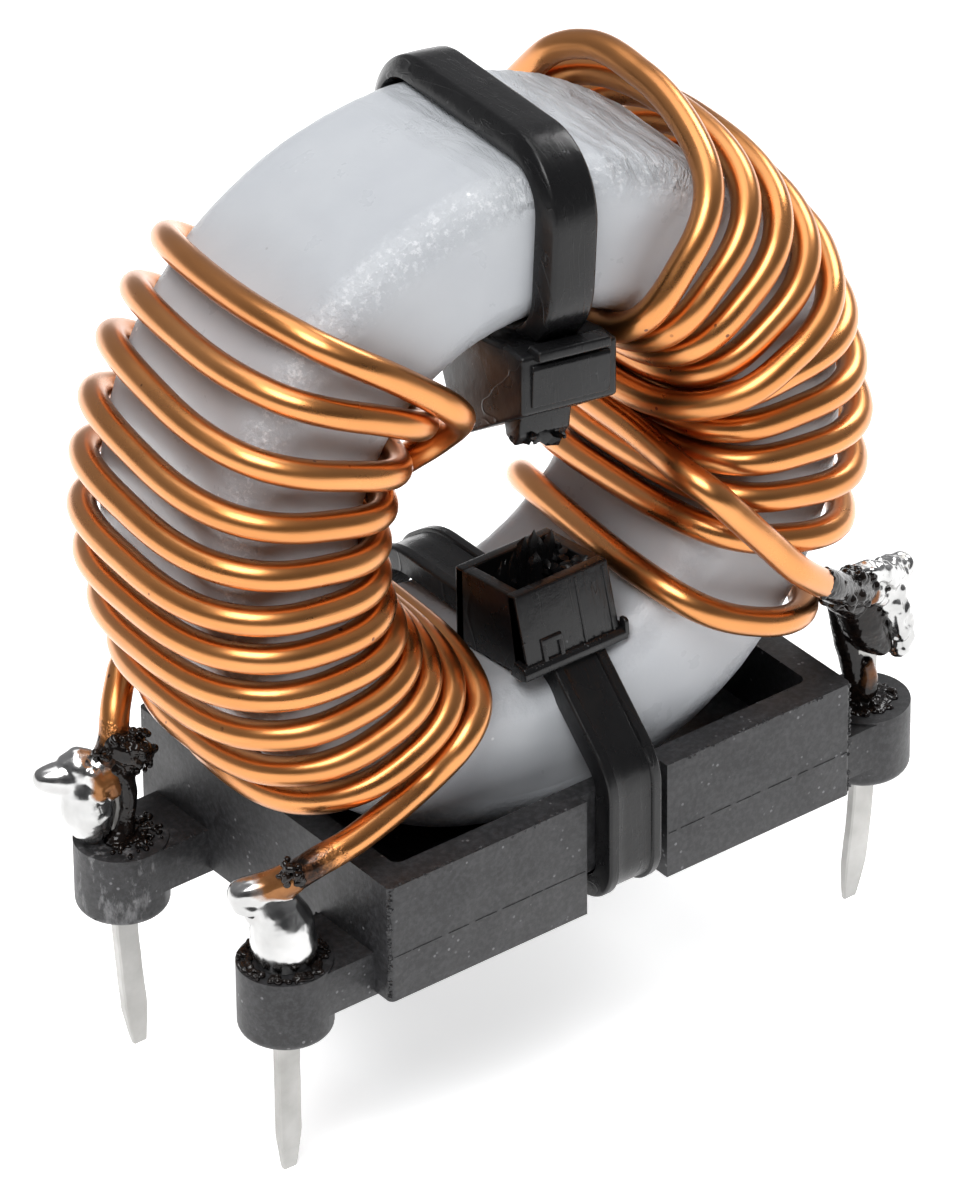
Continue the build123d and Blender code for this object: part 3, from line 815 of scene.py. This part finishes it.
def build_tie_top():
    axis, out, across = frame_of(85.0)

    def spot(a, b, w=0.0):
        return Vector(RING_CENTRE) + axis * a + out * b + across * w

    half_a, half_b, mid = HT + 0.14, (RO - RI) / 2 + 0.20, MID - 0.05
    stations = []
    r_in, r_out = 1.8, 3.3
    for sa, sb, start in ((-1, 1, 180), (1, 1, 90), (1, -1, 0), (-1, -1, 270)):
        ci = (sa * (half_a - r_in), mid + sb * (half_b - r_in))
        co = (sa * (half_a + STRAP_T - r_out), mid + sb * (half_b + STRAP_T - r_out))
        for i in range(19):
            t = math.radians(start - 90 * i / 18)
            c, s = math.cos(t), math.sin(t)
            stations.append(((ci[0] + r_in * c, ci[1] + r_in * s), (co[0] + r_out * c, co[1] + r_out * s)))
    dense = []
    for i, (p, q) in enumerate(stations):
        p2, q2 = stations[(i + 1) % len(stations)]
        gap = math.hypot(p2[0] - p[0], p2[1] - p[1])
        n = max(1, int(gap / 0.6))
        for j in range(n):
            f = j / n
            dense.append(((p[0] + (p2[0] - p[0]) * f, p[1] + (p2[1] - p[1]) * f), (q[0] + (q2[0] - q[0]) * f, q[1] + (q2[1] - q[1]) * f)))
    strap = band([(spot(*p), spot(*q)) for p, q in dense], across, STRAP_W, bevelled_shape(STRAP_W, STRAP_T, 0.40, 0.22))
    # the ring axis frame has the width direction running to the left of the photo for negative values
    head = prism([(-6.55, 7.30), (-6.75, 4.95), (-2.15, 2.05), (-0.85, 4.45), (-3.2, 6.9), (-5.5, 7.30)], spot, 2.15, 0.16)
    lip = prism([(-6.72, 6.95), (-6.80, 6.8), (-6.84, 5.25), (-6.5, 5.1), (-6.3, 6.95)], spot, 1.75, 0.06)
    collar = prism([(-6.95, 7.62), (-7.02, 7.22), (-6.4, 7.05), (-5.9, 7.2), (-6.2, 7.62)], spot, 1.62, 0.10)
    tail = prism([(-5.15, 4.2), (-5.10, 3.1), (-4.75, 2.55), (-4.1, 2.75), (-3.9, 3.4), (-4.2, 4.4)], spot, 1.15, 0.10)
    rng = random.Random(7)
    grit = [(spot(-4.95 + rng.uniform(-0.25, 0.7), 2.75 + rng.uniform(-0.25, 0.2), rng.uniform(-1.0, 1.0)), rng.uniform(0.08, 0.22)) for _ in range(5)]
    grit += [(spot(-4.75 + rng.uniform(-0.3, 0.5), 2.85 + rng.uniform(-0.25, 0.35), rng.uniform(-1.05, 1.05)), rng.uniform(0.22, 0.42)) for _ in range(12)]
    grit += [(spot(-6.70 + rng.uniform(-0.1, 0.3), 7.35 + rng.uniform(-0.1, 0.15), rng.uniform(-1.5, 1.5)), rng.uniform(0.04, 0.09)) for _ in range(14)]
    grit += [(spot(-1.6 + rng.uniform(-0.6, 0.6), 4.0 + rng.uniform(-0.9, 0.9), -2.13), rng.uniform(0.03, 0.07)) for _ in range(10)]
    verts, faces = gather([strap, head, lip, collar, tail, crumb_mesh(grit, rng)])
    ob = mesh_object("tie_top", verts, faces, TIE_MAT, "cable_tie_top")
    ob.data.set_sharp_from_angle(angle=math.radians(40))
    return ob


def fillet_loop(points, radii, step_deg=6.0, span=0.7):
    """Closed polygon with rounded corners, as (point, outward normal)."""
    n = len(points)
    area = sum(points[i][0] * points[(i + 1) % n][1] - points[(i + 1) % n][0] * points[i][1] for i in range(n))
    sign = 1.0 if area > 0 else -1.0
    out = []
    for i in range(n):
        p0, p, p1 = Vector(points[i - 1]), Vector(points[i]), Vector(points[(i + 1) % n])
        d0, d1 = (p - p0).normalized(), (p1 - p).normalized()
        turn_a = math.atan2(d0.x * d1.y - d0.y * d1.x, d0.dot(d1))
        r = radii[i]
        cut = r * abs(math.tan(turn_a / 2))
        side = 1.0 if turn_a > 0 else -1.0
        n0 = Vector((-d0.y, d0.x)) * side
        c = p - d0 * cut + n0 * r
        k = max(2, int(abs(math.degrees(turn_a)) / step_deg))
        for j in range(k + 1):
            a = turn_a * j / k
            v = -n0
            v = Vector((v.x * math.cos(a) - v.y * math.sin(a), v.x * math.sin(a) + v.y * math.cos(a)))
            out.append((c + v * r, v * side * sign))
    dense = []
    for i, (p, v) in enumerate(out):
        q, w = out[(i + 1) % len(out)]
        k = max(1, int((q - p).length / span))
        for j in range(k):
            dense.append((p.lerp(q, j / k), v.lerp(w, j / k).normalized()))
    return dense


BOTTOM_X = 0.15
BY = 16.3 / 2 - 0.43 + 0.03
LOOP = [(-BY, 2.31), (BY, 2.31), (BY, 7.0), (6.3, 9.5), (4.9, 10.5), (-4.2, 10.5), (-BY, 7.0)]
LOOP_R = [0.9, 0.9, 1.5, 1.5, 2.0, 1.2, 1.5]


def build_tie_bottom():
    across = Vector((1, 0, 0))

    def spot(y, z, w=0.0):
        return Vector((BOTTOM_X + w, y, z))

    path = fillet_loop(LOOP, LOOP_R)
    strap = band([(spot(*p), spot(*(p + v * STRAP_T))) for p, v in path], across, STRAP_W,
                 rounded_shape(STRAP_W, STRAP_T, 0.14, 0.08, 0.42, 0.16))
    # head: four walls round an open slot, with a lip along the front foot
    hx, hw, wall = -0.12, 2.27, 0.55

    def head_spot(y, z, w=0.0):
        return Vector((hx + w, y, z))

    def shifted(dx):
        return lambda y, z, w: Vector((hx + dx + w, y, z))

    def rim(y):
        return 14.33 - (y + 4.4) * 0.113

    front = prism([(-4.4, rim(-4.4)), (-5.2, 11.45), (-5.2, 10.9), (-4.4, 10.7), (-3.85, rim(-3.85))], head_spot, hw, 0.09)
    back = prism([(-1.15, rim(-1.15)), (-1.2, 10.5), (-0.62, 10.5), (-0.6, rim(-0.6))], head_spot, hw, 0.09)
    side = [(-4.36, rim(-4.36) - 0.012), (-5.16, 11.42), (-5.16, 10.92), (-0.64, 10.5), (-0.62, rim(-0.62) - 0.012)]
    sides = [prism(side, shifted(k * (hw - wall / 2)), wall / 2, 0.09) for k in (-1, 1)]
    core = prism([(-4.2, 13.2), (-4.6, 10.6), (-0.8, 10.5), (-0.8, 13.05)], head_spot, hw - 0.3, 0.05)
    flange = prism([(-5.28, 11.55), (-5.44, 11.36), (-5.42, 11.04), (-5.1, 10.9), (-4.4, 10.9), (-4.6, 11.6)], head_spot, 2.55, 0.08)
    lug = prism([(-5.26, 11.95), (-5.40, 11.85), (-5.44, 11.2), (-5.0, 11.1), (-5.0, 11.9)], shifted(2.47), 0.10, 0.05)
    leg = [(-4.80, 12.42), (-5.05, 12.34), (-5.32, 11.45), (-5.0, 11.45)]
    tab = gather([prism(leg, shifted(-1.40), 0.10, 0.035), prism(leg, shifted(-0.58), 0.10, 0.035),
                  prism([(-4.80, 12.44), (-5.06, 12.36), (-5.12, 12.14), (-4.9, 12.14)], shifted(-0.99), 0.50, 0.035)])
    ridge = [(-4.40, 14.22), (-4.475, 14.16), (-5.235, 11.5), (-5.1, 11.5), (-4.3, 14.2)]
    ribs = [prism(ridge, shifted(0.62), 0.055, 0.02), prism(ridge, shifted(2.0), 0.055, 0.02)]
    # torn end of the tail: upright shards
    rng = random.Random(23)
    peaks = ((-1.35, 14.3), (-1.12, 15.45), (-0.75, 14.75), (-0.10, 15.72), (0.35, 15.05), (0.95, 15.1), (1.35, 14.5), (1.95, 13.9))
    shards = []
    for i in range(22):
        x = -1.3 + 3.2 * i / 21
        crest = hermite_knots(peaks, x)
        if i % 3:
            crest = 13.5 + (crest - 13.5) * rng.uniform(0.45, 0.85)
        y = -2.35 + rng.uniform(-0.55, 0.55) if i % 3 else -2.35 + rng.uniform(-0.12, 0.12)
        w, deep = rng.uniform(0.14, 0.30), rng.uniform(0.08, 0.22)
        lean = rng.uniform(-0.12, 0.12)
        corners = ((-1, -1), (1, -1), (1, 1), (-1, 1))
        vs = [Vector((x + dx * w, y + dy * deep, 12.9)) for dx, dy in corners]
        vs += [Vector((x + dx * w * 0.9, y + dy * deep * 0.8, max(13.2, crest - 0.55 + rng.uniform(-0.25, 0.2)))) for dx, dy in corners]
        vs += [Vector((x + lean, y + rng.uniform(-0.1, 0.1), crest))]
        fs = [(3, 2, 1, 0)] + [(j, (j + 1) % 4, 4 + (j + 1) % 4, 4 + j) for j in range(4)] + [(4 + j, 4 + (j + 1) % 4, 8) for j in range(4)]
        shards.append((vs, fs))
    grit = [((rng.uniform(-1.2, 1.6), rng.uniform(-3.4, -1.5), 13.2 + rng.uniform(0.0, 0.5)), rng.uniform(0.10, 0.26)) for _ in range(26)]
    grit += [((hx + rng.uniform(0.5, 1.7), rng.uniform(-3.7, -2.4), 13.7 + rng.uniform(0.0, 0.45)), rng.uniform(0.12, 0.26)) for _ in range(12)]
    grit += [((hx + rng.uniform(-2.4, 2.4), -5.30 + rng.uniform(-0.1, 0.05), 11.5 + rng.uniform(-0.05, 0.05)), rng.uniform(0.03, 0.07)) for _ in range(14)]
    verts, faces = gather([strap, core, front, back, flange, lug, tab] + ribs + sides + shards + [crumb_mesh(grit, rng)])
    ob = mesh_object("tie_bottom", verts, faces, TIE_MAT, "cable_tie_bottom")
    ob.data.set_sharp_from_angle(angle=math.radians(40))
    return ob


build_tie_top()
build_tie_bottom()


# ------------------------------------------------------------------ pins
def blade(corner, x, y, top, lean, tip):
    """Flat pin, slightly bent, with a chisel point."""
    ring = []
    hw, ht, c = 0.525, 0.225, 0.07
    for sx, sy in ((1, -1), (1, 1), (-1, 1), (-1, -1)):
        first, second = ((hw - c, ht), (hw, ht - c)) if sx * sy < 0 else ((hw, ht - c), (hw - c, ht))
        ring += [(sx * first[0], sy * first[1]), (sx * second[0], sy * second[1])]
    verts, faces = [], []
    levels = [top - (top - tip) * i / 60 for i in range(61)]
    for z in levels:
        f = min(1.0, max(0.0, (z - tip) / 1.7))
        k = 0.58 + 0.42 * f ** 0.8
        b = max(0.0, -z / 6.7) ** 1.4
        for u, v in ring:
            p = Vector((x + u * k + lean[0] * b, y + v * (0.5 + 0.5 * f) + lean[1] * b, z))
            verts.append(p + Vector((noise.noise(p * 1.3), noise.noise(p * 1.3 + Vector((9, 0, 0))), 0.0)) * 0.018)
    n, m = len(levels), len(ring)
    for i in range(n - 1):
        for j in range(m):
            l = (j + 1) % m
            faces.append((i * m + j, (i + 1) * m + j, (i + 1) * m + l, i * m + l))
    faces.append(tuple(range(m)))
    faces.append(tuple(reversed(range((n - 1) * m, n * m))))
    ob = mesh_object("blade_" + corner, verts, faces, TIN, "pin_" + corner)
    bm = bmesh.new()
    bm.from_mesh(ob.data)
    bmesh.ops.recalc_face_normals(bm, faces=bm.faces)
    bm.to_mesh(ob.data)
    bm.free()
    ob.data.set_sharp_from_angle(angle=math.radians(30))


blade("front_left", -14.5, -5.35, 6.0, (0.0, 0.0), -6.7)
blade("back_left", -14.5, 5.35, 6.4, (0.36, -0.28), -6.7)
blade("front_right", 14.5, -5.35, 7.0, (-0.40, 0.30), -6.45)
blade("back_right", 14.5, 5.35, 6.0, (-0.15, -0.10), -6.65)


# ------------------------------------------------------------------ solder joints
LOOK = Vector((VIEW_B.x, VIEW_B.y, 0.0)).normalized()


def upright(px, py, pin, toward=0.0):
    """Point in the upright plane through a pin that faces the camera, under a place in the picture."""
    origin = REF + VIEW_B * DIST
    d = REF + VIEW_R * ((px - 493.96) / PX_PER_MM) + VIEW_U * ((551.5 - py) / PX_PER_MM) - origin
    foot = Vector((pin[0], pin[1], 0.0)) + LOOK * toward
    return origin + d * ((foot - origin).dot(LOOK) / d.dot(LOOK))


def skin(balls, voxel, rounds):
    """Lumps melted into one surface."""
    v0, f0 = BALL
    verts = np.concatenate([v0 * r + np.array(tuple(c)) for c, r, _ in balls]) * MM
    faces = np.concatenate([f0 + i * len(v0) for i in range(len(balls))])
    me = bpy.data.meshes.new("lumps")
    me.from_pydata(verts.tolist(), [], faces.tolist())
    raw = bpy.data.objects.new("lumps", me)
    bpy.context.scene.collection.objects.link(raw)
    mod = raw.modifiers.new("skin", "REMESH")
    mod.mode = "VOXEL"
    mod.voxel_size = voxel * MM
    soft = raw.modifiers.new("soft", "SMOOTH")
    soft.factor, soft.iterations = 0.5, rounds
    made = bpy.data.meshes.new_from_object(raw.evaluated_get(bpy.context.evaluated_depsgraph_get()))
    bpy.data.objects.remove(raw)
    bpy.data.meshes.remove(me)
    spots = np.empty(len(made.vertices) * 3)
    made.vertices.foreach_get("co", spots)
    spots = spots.reshape(-1, 3) / MM
    normals = [v.normal.copy() for v in made.vertices]
    polys = [tuple(p.vertices) for p in made.polygons]
    bpy.data.meshes.remove(made)
    total, value = np.zeros(len(spots)), np.zeros(len(spots))
    for c, r, f in balls:
        w = np.exp(-9.0 * np.maximum(-0.25, np.linalg.norm(spots - np.array(tuple(c)), axis=1) - r))
        total += w
        value += w * f
    return spots, normals, polys, value / total


def joint(name, metal, burnt, node, low, lumpy=0.0):
    verts, faces, flux = [], [], []
    for balls, voxel, rounds, rough, lump, fine in ((metal, 0.06, 10, 0.03, lumpy, 0.0), (burnt, 0.05, 2, 0.02, 0.0, 0.012)):
        if not balls:
            continue
        spots, normals, polys, value = skin(balls, voxel, rounds)
        n = len(verts)
        for p, v, f in zip(spots, normals, value):
            p = Vector(p)
            d = rough * noise.noise(p * 1.5) + lump * noise.noise(p * 2.4) + fine * (noise.noise(p * 7.0) + 0.6 * noise.noise(p * 15.0))
            p = p + v * d
            p.z = max(p.z, low)
            verts.append(p)
        faces += [tuple(i + n for i in q) for q in polys]
        flux += [float(f) for f in value]
    ob = mesh_object(name, verts, faces, SOLDER, node)
    set_attr(ob, "flux", flux)
    return ob


def grains(rng, pin, px, py, wide, tall, deep, count, lo, hi, flux, toward=0.0):
    out = []
    for _ in range(count):
        while True:
            a, b, c = rng.uniform(-1, 1), rng.uniform(-1, 1), rng.uniform(-1, 1)
            if a * a + b * b + c * c < 1.0:
                break
        out.append((upright(px + a * wide, py + b * tall, pin, toward + c * deep), rng.uniform(lo, hi), flux))
    return out


def chain(pin, rows):
    """Close run of balls through (across, down, radius, flux, toward) rows."""
    out = []
    for a, b in zip(rows, rows[1:]):
        n = max(1, int(math.hypot(b[0] - a[0], b[1] - a[1]) / (0.16 * min(a[2], b[2]))))
        for i in range(n):
            f = i / n
            px, py, r, flux, toward = (p + (q - p) * f for p, q in zip(a, b))
            out.append((upright(px, py, pin, toward), r / PX_PER_MM, flux))
    px, py, r, flux, toward = rows[-1]
    out.append((upright(px, py, pin, toward), r / PX_PER_MM, flux))
    return out


def crust(rng, pin, r0, r1, count, lo, hi, z, arc=(0.0, 360.0)):
    out = []
    for _ in range(count):
        a = math.radians(rng.uniform(*arc))
        r = rng.uniform(r0, r1)
        out.append((Vector((pin[0] + r * math.cos(a), pin[1] + r * math.sin(a), z + rng.uniform(-0.02, 0.05))), rng.uniform(lo, hi), 1.05))
    return out


def coat(points, rows):
    """Close run of balls round a line in space; rows are (share of the length, radius, flux)."""
    line = even(spline(points, 0.1), 0.09)
    out = []
    for i, p in enumerate(line):
        f = i / (len(line) - 1)
        if rows[0][0] <= f <= rows[-1][0]:
            out.append((p, hermite_knots([(r[0], r[1]) for r in rows], f), hermite_knots([(r[0], r[2]) for r in rows], f)))
    return out


def lumps(rng, points, lo, hi, reach, count, small, large):
    """Burnt grains scattered round a line in space."""
    line = even(spline(points, 0.1), 0.05)
    out = []
    for _ in range(count):
        p = line[int((lo + (hi - lo) * rng.random()) * (len(line) - 1))]
        d = Vector((rng.uniform(-1, 1), rng.uniform(-1, 1), rng.uniform(-1, 1))).normalized()
        out.append((p + d * reach * rng.uniform(0.75, 1.1), rng.uniform(small, large), 1.0))
    return out


def build_solder():
    rng = random.Random(5)
    fl, bl, fr, br = (-14.5, -5.35), (-14.5, 5.35), (14.5, -5.35), (14.5, 5.35)
    metal = chain(fl, [(284, 950, 31, 0.0, 0.0), (284, 940, 34, 0.0, 0.0), (282, 926, 33, 0.0, 0.0), (277, 912, 28, 0.0, 0.0), (273, 902, 22, 0.05, 0.0)])
    metal += coat(FL_END, [(0.22, 0.56, 0.85), (0.38, 0.66, 0.66), (0.60, 0.69, 0.52), (0.78, 0.69, 0.44), (0.90, 0.68, 0.22), (1.0, 0.62, 0.12)])
    metal += chain(fl, [(243, 904, 12, 0.15, 0.25), (252, 909, 9, 0.25, 0.45)]) + chain(fl, [(262, 905, 14, 0.0, 0.2), (256, 914, 12, 0.0, 0.2)])
    burnt = crust(rng, fl, 1.30, 1.78, 150, 0.06, 0.17, 3.24) + grains(rng, fl, 292, 876, 14, 11, 0.35, 34, 0.09, 0.19, 0.97, 0.45) + grains(rng, fl, 288, 866, 9, 8, 0.3, 12, 0.08, 0.15, 0.97, 0.1)
    joint("joint_front_left", metal, burnt, "solder_front_left", 3.205)

    metal = chain(bl, [(92, 827, 17, 0.0, 0.35), (90, 817, 25, 0.0, 0.35), (88, 806, 29, 0.0, 0.35), (85, 793, 26, 0.0, 0.35), (81, 778, 21, 0.0, 0.3), (80, 768, 18, 0.0, 0.3)])
    metal += coat(BL_END, [(0.50, 0.66, 0.45), (0.62, 0.74, 0.12), (0.78, 0.74, 0.05), (0.90, 0.68, 0.10), (1.0, 0.52, 0.26)])
    metal += chain(bl, [(68, 765, 13, 0.0, 0.25), (77, 759, 13, 0.0, 0.2), (88, 758, 10, 0.05, 0.2), (95, 764, 8, 0.3, 0.2)])
    metal += chain(bl, [(93, 774, 9, 0.50, 0.75), (99, 785, 12, 0.60, 0.75), (108, 779, 12, 0.64, 0.55), (112, 790, 10, 0.68, 0.5)])
    metal += chain(bl, [(92, 792, 8, 0.55, 0.95), (101, 794, 8, 0.6, 0.95)])
    burnt = chain(bl, [(113, 768, 14, 0.95, 0.2), (122, 776, 13, 0.95, 0.0), (127, 790, 11, 0.86, 0.0), (127, 804, 10, 0.84, 0.0), (124, 818, 11, 0.9, 0.0),
                       (121, 832, 15, 1.0, 0.1), (117, 841, 14, 1.0, 0.35)])
    burnt += chain(bl, [(126, 838, 13, 1.0, 0.1), (140, 844, 11, 1.0, 0.1)]) + chain(bl, [(117, 745, 14, 1.0, 0.2), (128, 749, 19, 1.0, 0.1), (143, 752, 12, 1.0, 0.0)])
    burnt += grains(rng, bl, 128, 750, 29, 25, 0.85, 95, 0.11, 0.22, 1.05) + grains(rng, bl, 104, 740, 6, 6, 0.2, 6, 0.12, 0.18, 1.0)
    burnt += grains(rng, bl, 104, 756, 12, 8, 0.5, 18, 0.10, 0.18, 1.0, 0.4)
    burnt += crust(rng, bl, 0.7, 1.74, 70, 0.06, 0.15, 3.24, (-140.0, 60.0))
    joint("joint_back_left", metal, burnt, "solder_back_left", 3.205)

    metal = coat(FR_END, [(0.40, 0.70, 0.80), (0.50, 0.83, 0.30), (0.62, 0.82, 0.06), (0.74, 0.76, 0.05), (0.86, 0.68, 0.12), (0.94, 0.62, 0.10)])
    metal += chain(fr, [(856, 573, 10, 0.30, 1.4), (870, 569, 10, 0.12, 1.3), (885, 572, 11, 0.08, 0.9), (894, 583, 10, 0.0, 0.1), (899, 600, 10, 0.0, 0.05),
                        (903, 618, 10, 0.0, 0.05), (904, 634, 11, 0.0, 0.05), (901, 645, 10, 0.05, 0.05), (893, 650, 7, 0.2, 0.05)]) + chain(fr, [(882, 584, 11, 0.12, 0.35), (890, 598, 12, 0.0, 0.3), (896, 614, 12, 0.0, 0.25), (899, 630, 12, 0.0, 0.2)])
    metal += chain(fr, [(872, 584, 9, 0.55, 0.9), (879, 594, 8, 0.5, 0.8), (886, 605, 8, 0.35, 0.5), (894, 616, 8, 0.15, 0.2)])
    burnt = coat(FR_END, [(0.0, 0.64, 0.98), (0.12, 0.70, 1.0), (0.30, 0.80, 1.0), (0.46, 0.76, 1.0)])
    burnt += lumps(rng, FR_END, 0.0, 0.46, 0.70, 100, 0.12, 0.28)
    burnt += chain(fr, [(826, 592, 10, 1.0, 2.2), (838, 598, 15, 1.0, 1.6), (850, 600, 19, 1.0, 0.9)])
    burnt += coat([at(11.14, -27.0, -7.9), (9.75, -8.28, 12.15), (11.2, -7.6, 10.9)], [(0.52, 0.58, 0.9), (0.66, 0.65, 0.98), (1.0, 0.68, 1.0)])
    burnt += lumps(rng, [(9.75, -8.28, 12.15), (11.2, -7.6, 10.9)], 0.0, 1.0, 0.56, 46, 0.10, 0.20)
    burnt += chain(fr, [(848, 590, 20, 1.0, 0.2), (858, 603, 26, 1.0, 0.2), (863, 618, 26, 1.0, 0.2), (869, 632, 21, 1.0, 0.2), (880, 643, 13, 1.0, 0.2)])
    burnt += chain(fr, [(838, 600, 12, 1.0, 0.0), (842, 620, 13, 1.0, 0.0), (847, 640, 14, 1.0, 0.0), (853, 658, 15, 1.0, 0.0), (857, 676, 15, 1.0, 0.0), (859, 690, 17, 1.0, 0.0)])
    burnt += chain(fr, [(866, 664, 9, 0.70, 0.25), (868, 676, 10, 0.72, 0.3), (866, 688, 13, 0.9, 0.3)])
    burnt += grains(rng, fr, 838, 592, 20, 16, 0.55, 40, 0.10, 0.20, 1.0) + grains(rng, fr, 846, 640, 9, 40, 0.4, 30, 0.09, 0.17, 1.0)
    burnt += crust(rng, fr, 0.2, 1.30, 280, 0.10, 0.17, 3.17)
    burnt += grains(rng, fr, 880, 596, 13, 26, 0.35, 46, 0.07, 0.17, 1.0, 0.55) + grains(rng, fr, 866, 580, 14, 10, 0.4, 20, 0.08, 0.16, 1.0, 1.5)
    joint("joint_front_right", metal, burnt, "solder_front_right", 3.205, 0.16)

    foot = Vector((14.5, 5.35, 0.0))
    metal = [(foot + Vector((0.02 * i - 0.05, 0.0, 3.95 + 0.16 * i)), 1.31 - 0.006 * i * i, 0.0) for i in range(13)]
    metal += coat(BR_END, [(0.22, 0.56, 0.85), (0.38, 0.66, 0.64), (0.60, 0.70, 0.48), (0.78, 0.70, 0.34), (0.90, 0.69, 0.16), (1.0, 0.63, 0.10)])
    burnt = crust(rng, br, 1.22, 1.76, 130, 0.06, 0.17, 3.24) + lumps(rng, BR_END, 0.0, 0.30, 0.52, 40, 0.09, 0.19)
    joint("joint_back_right", metal, burnt, "solder_back_right", 3.205)


build_solder()

# ------------------------------------------------------------------ floor, light
def floor_and_light():
    z = cad_box[0][2]
    me = bpy.data.meshes.new("floor")
    s = 3.0
    me.from_pydata([(-s, -s, z), (s, -s, z), (s, s, z), (-s, s, z)], [], [(0, 1, 2, 3)])
    ob = bpy.data.objects.new("floor", me)
    bpy.context.scene.collection.objects.link(ob)
    m = Nodes("pale_floor")
    grain = m.ramp(m.noise(60, 3), [(0.3, (0.93, 0.93, 0.93)), (0.7, (0.95, 0.95, 0.95))])
    mat = m.put(color=grain, rough=0.9, spec=0.0)
    m.bsdf.inputs["Emission Color"].default_value = (1.0, 1.0, 1.0, 1.0)
    m.bsdf.inputs["Emission Strength"].default_value = 0.62
    me.materials.append(mat)

    def area(name, loc, target, size, power, size_y=None):
        d = bpy.data.lights.new(name, "AREA")
        d.energy = power
        d.shape = "RECTANGLE"
        d.size = size
        d.size_y = size_y or size
        o = bpy.data.objects.new(name, d)
        bpy.context.scene.collection.objects.link(o)
        o.location = loc
        o.rotation_euler = (Vector(target) - Vector(loc)).to_track_quat("-Z", "Y").to_euler()
        return o

    t = (0, 0, 0.014)
    area("key_box", (-0.24, -0.14, 0.50), t, 0.30, 2.4)
    area("back_right_box", (0.42, 0.11, 0.36), t, 0.22, 1.2)
    area("top_box", (0.02, 0.12, 0.55), t, 0.40, 0.9)
    w = bpy.data.worlds.new("studio")
    bpy.context.scene.world = w
    w.use_nodes = True
    nt = w.node_tree
    bg = nt.nodes["Background"]
    tc = nt.nodes.new("ShaderNodeTexCoord")
    dot = nt.nodes.new("ShaderNodeVectorMath")
    dot.operation = "DOT_PRODUCT"
    dot.inputs[1].default_value = (0.45, 0.70, 0.55)
    nt.links.new(tc.outputs["Generated"], dot.inputs[0])
    ramp = nt.nodes.new("ShaderNodeValToRGB")
    half = nt.nodes.new("ShaderNodeMath")
    half.operation = "MULTIPLY_ADD"
    half.inputs[1].default_value = 0.5
    half.inputs[2].default_value = 0.5
    nt.links.new(dot.outputs["Value"], half.inputs[0])
    nt.links.new(half.outputs[0], ramp.inputs["Fac"])
    e = ramp.color_ramp.elements
    e[0].position, e[0].color = 0.22, (0.07, 0.07, 0.073, 1)
    e[1].position, e[1].color = 0.85, (0.34, 0.34, 0.35, 1)
    nt.links.new(ramp.outputs["Color"], bg.inputs["Color"])
    bg.inputs["Strength"].default_value = 1.0


floor_and_light()
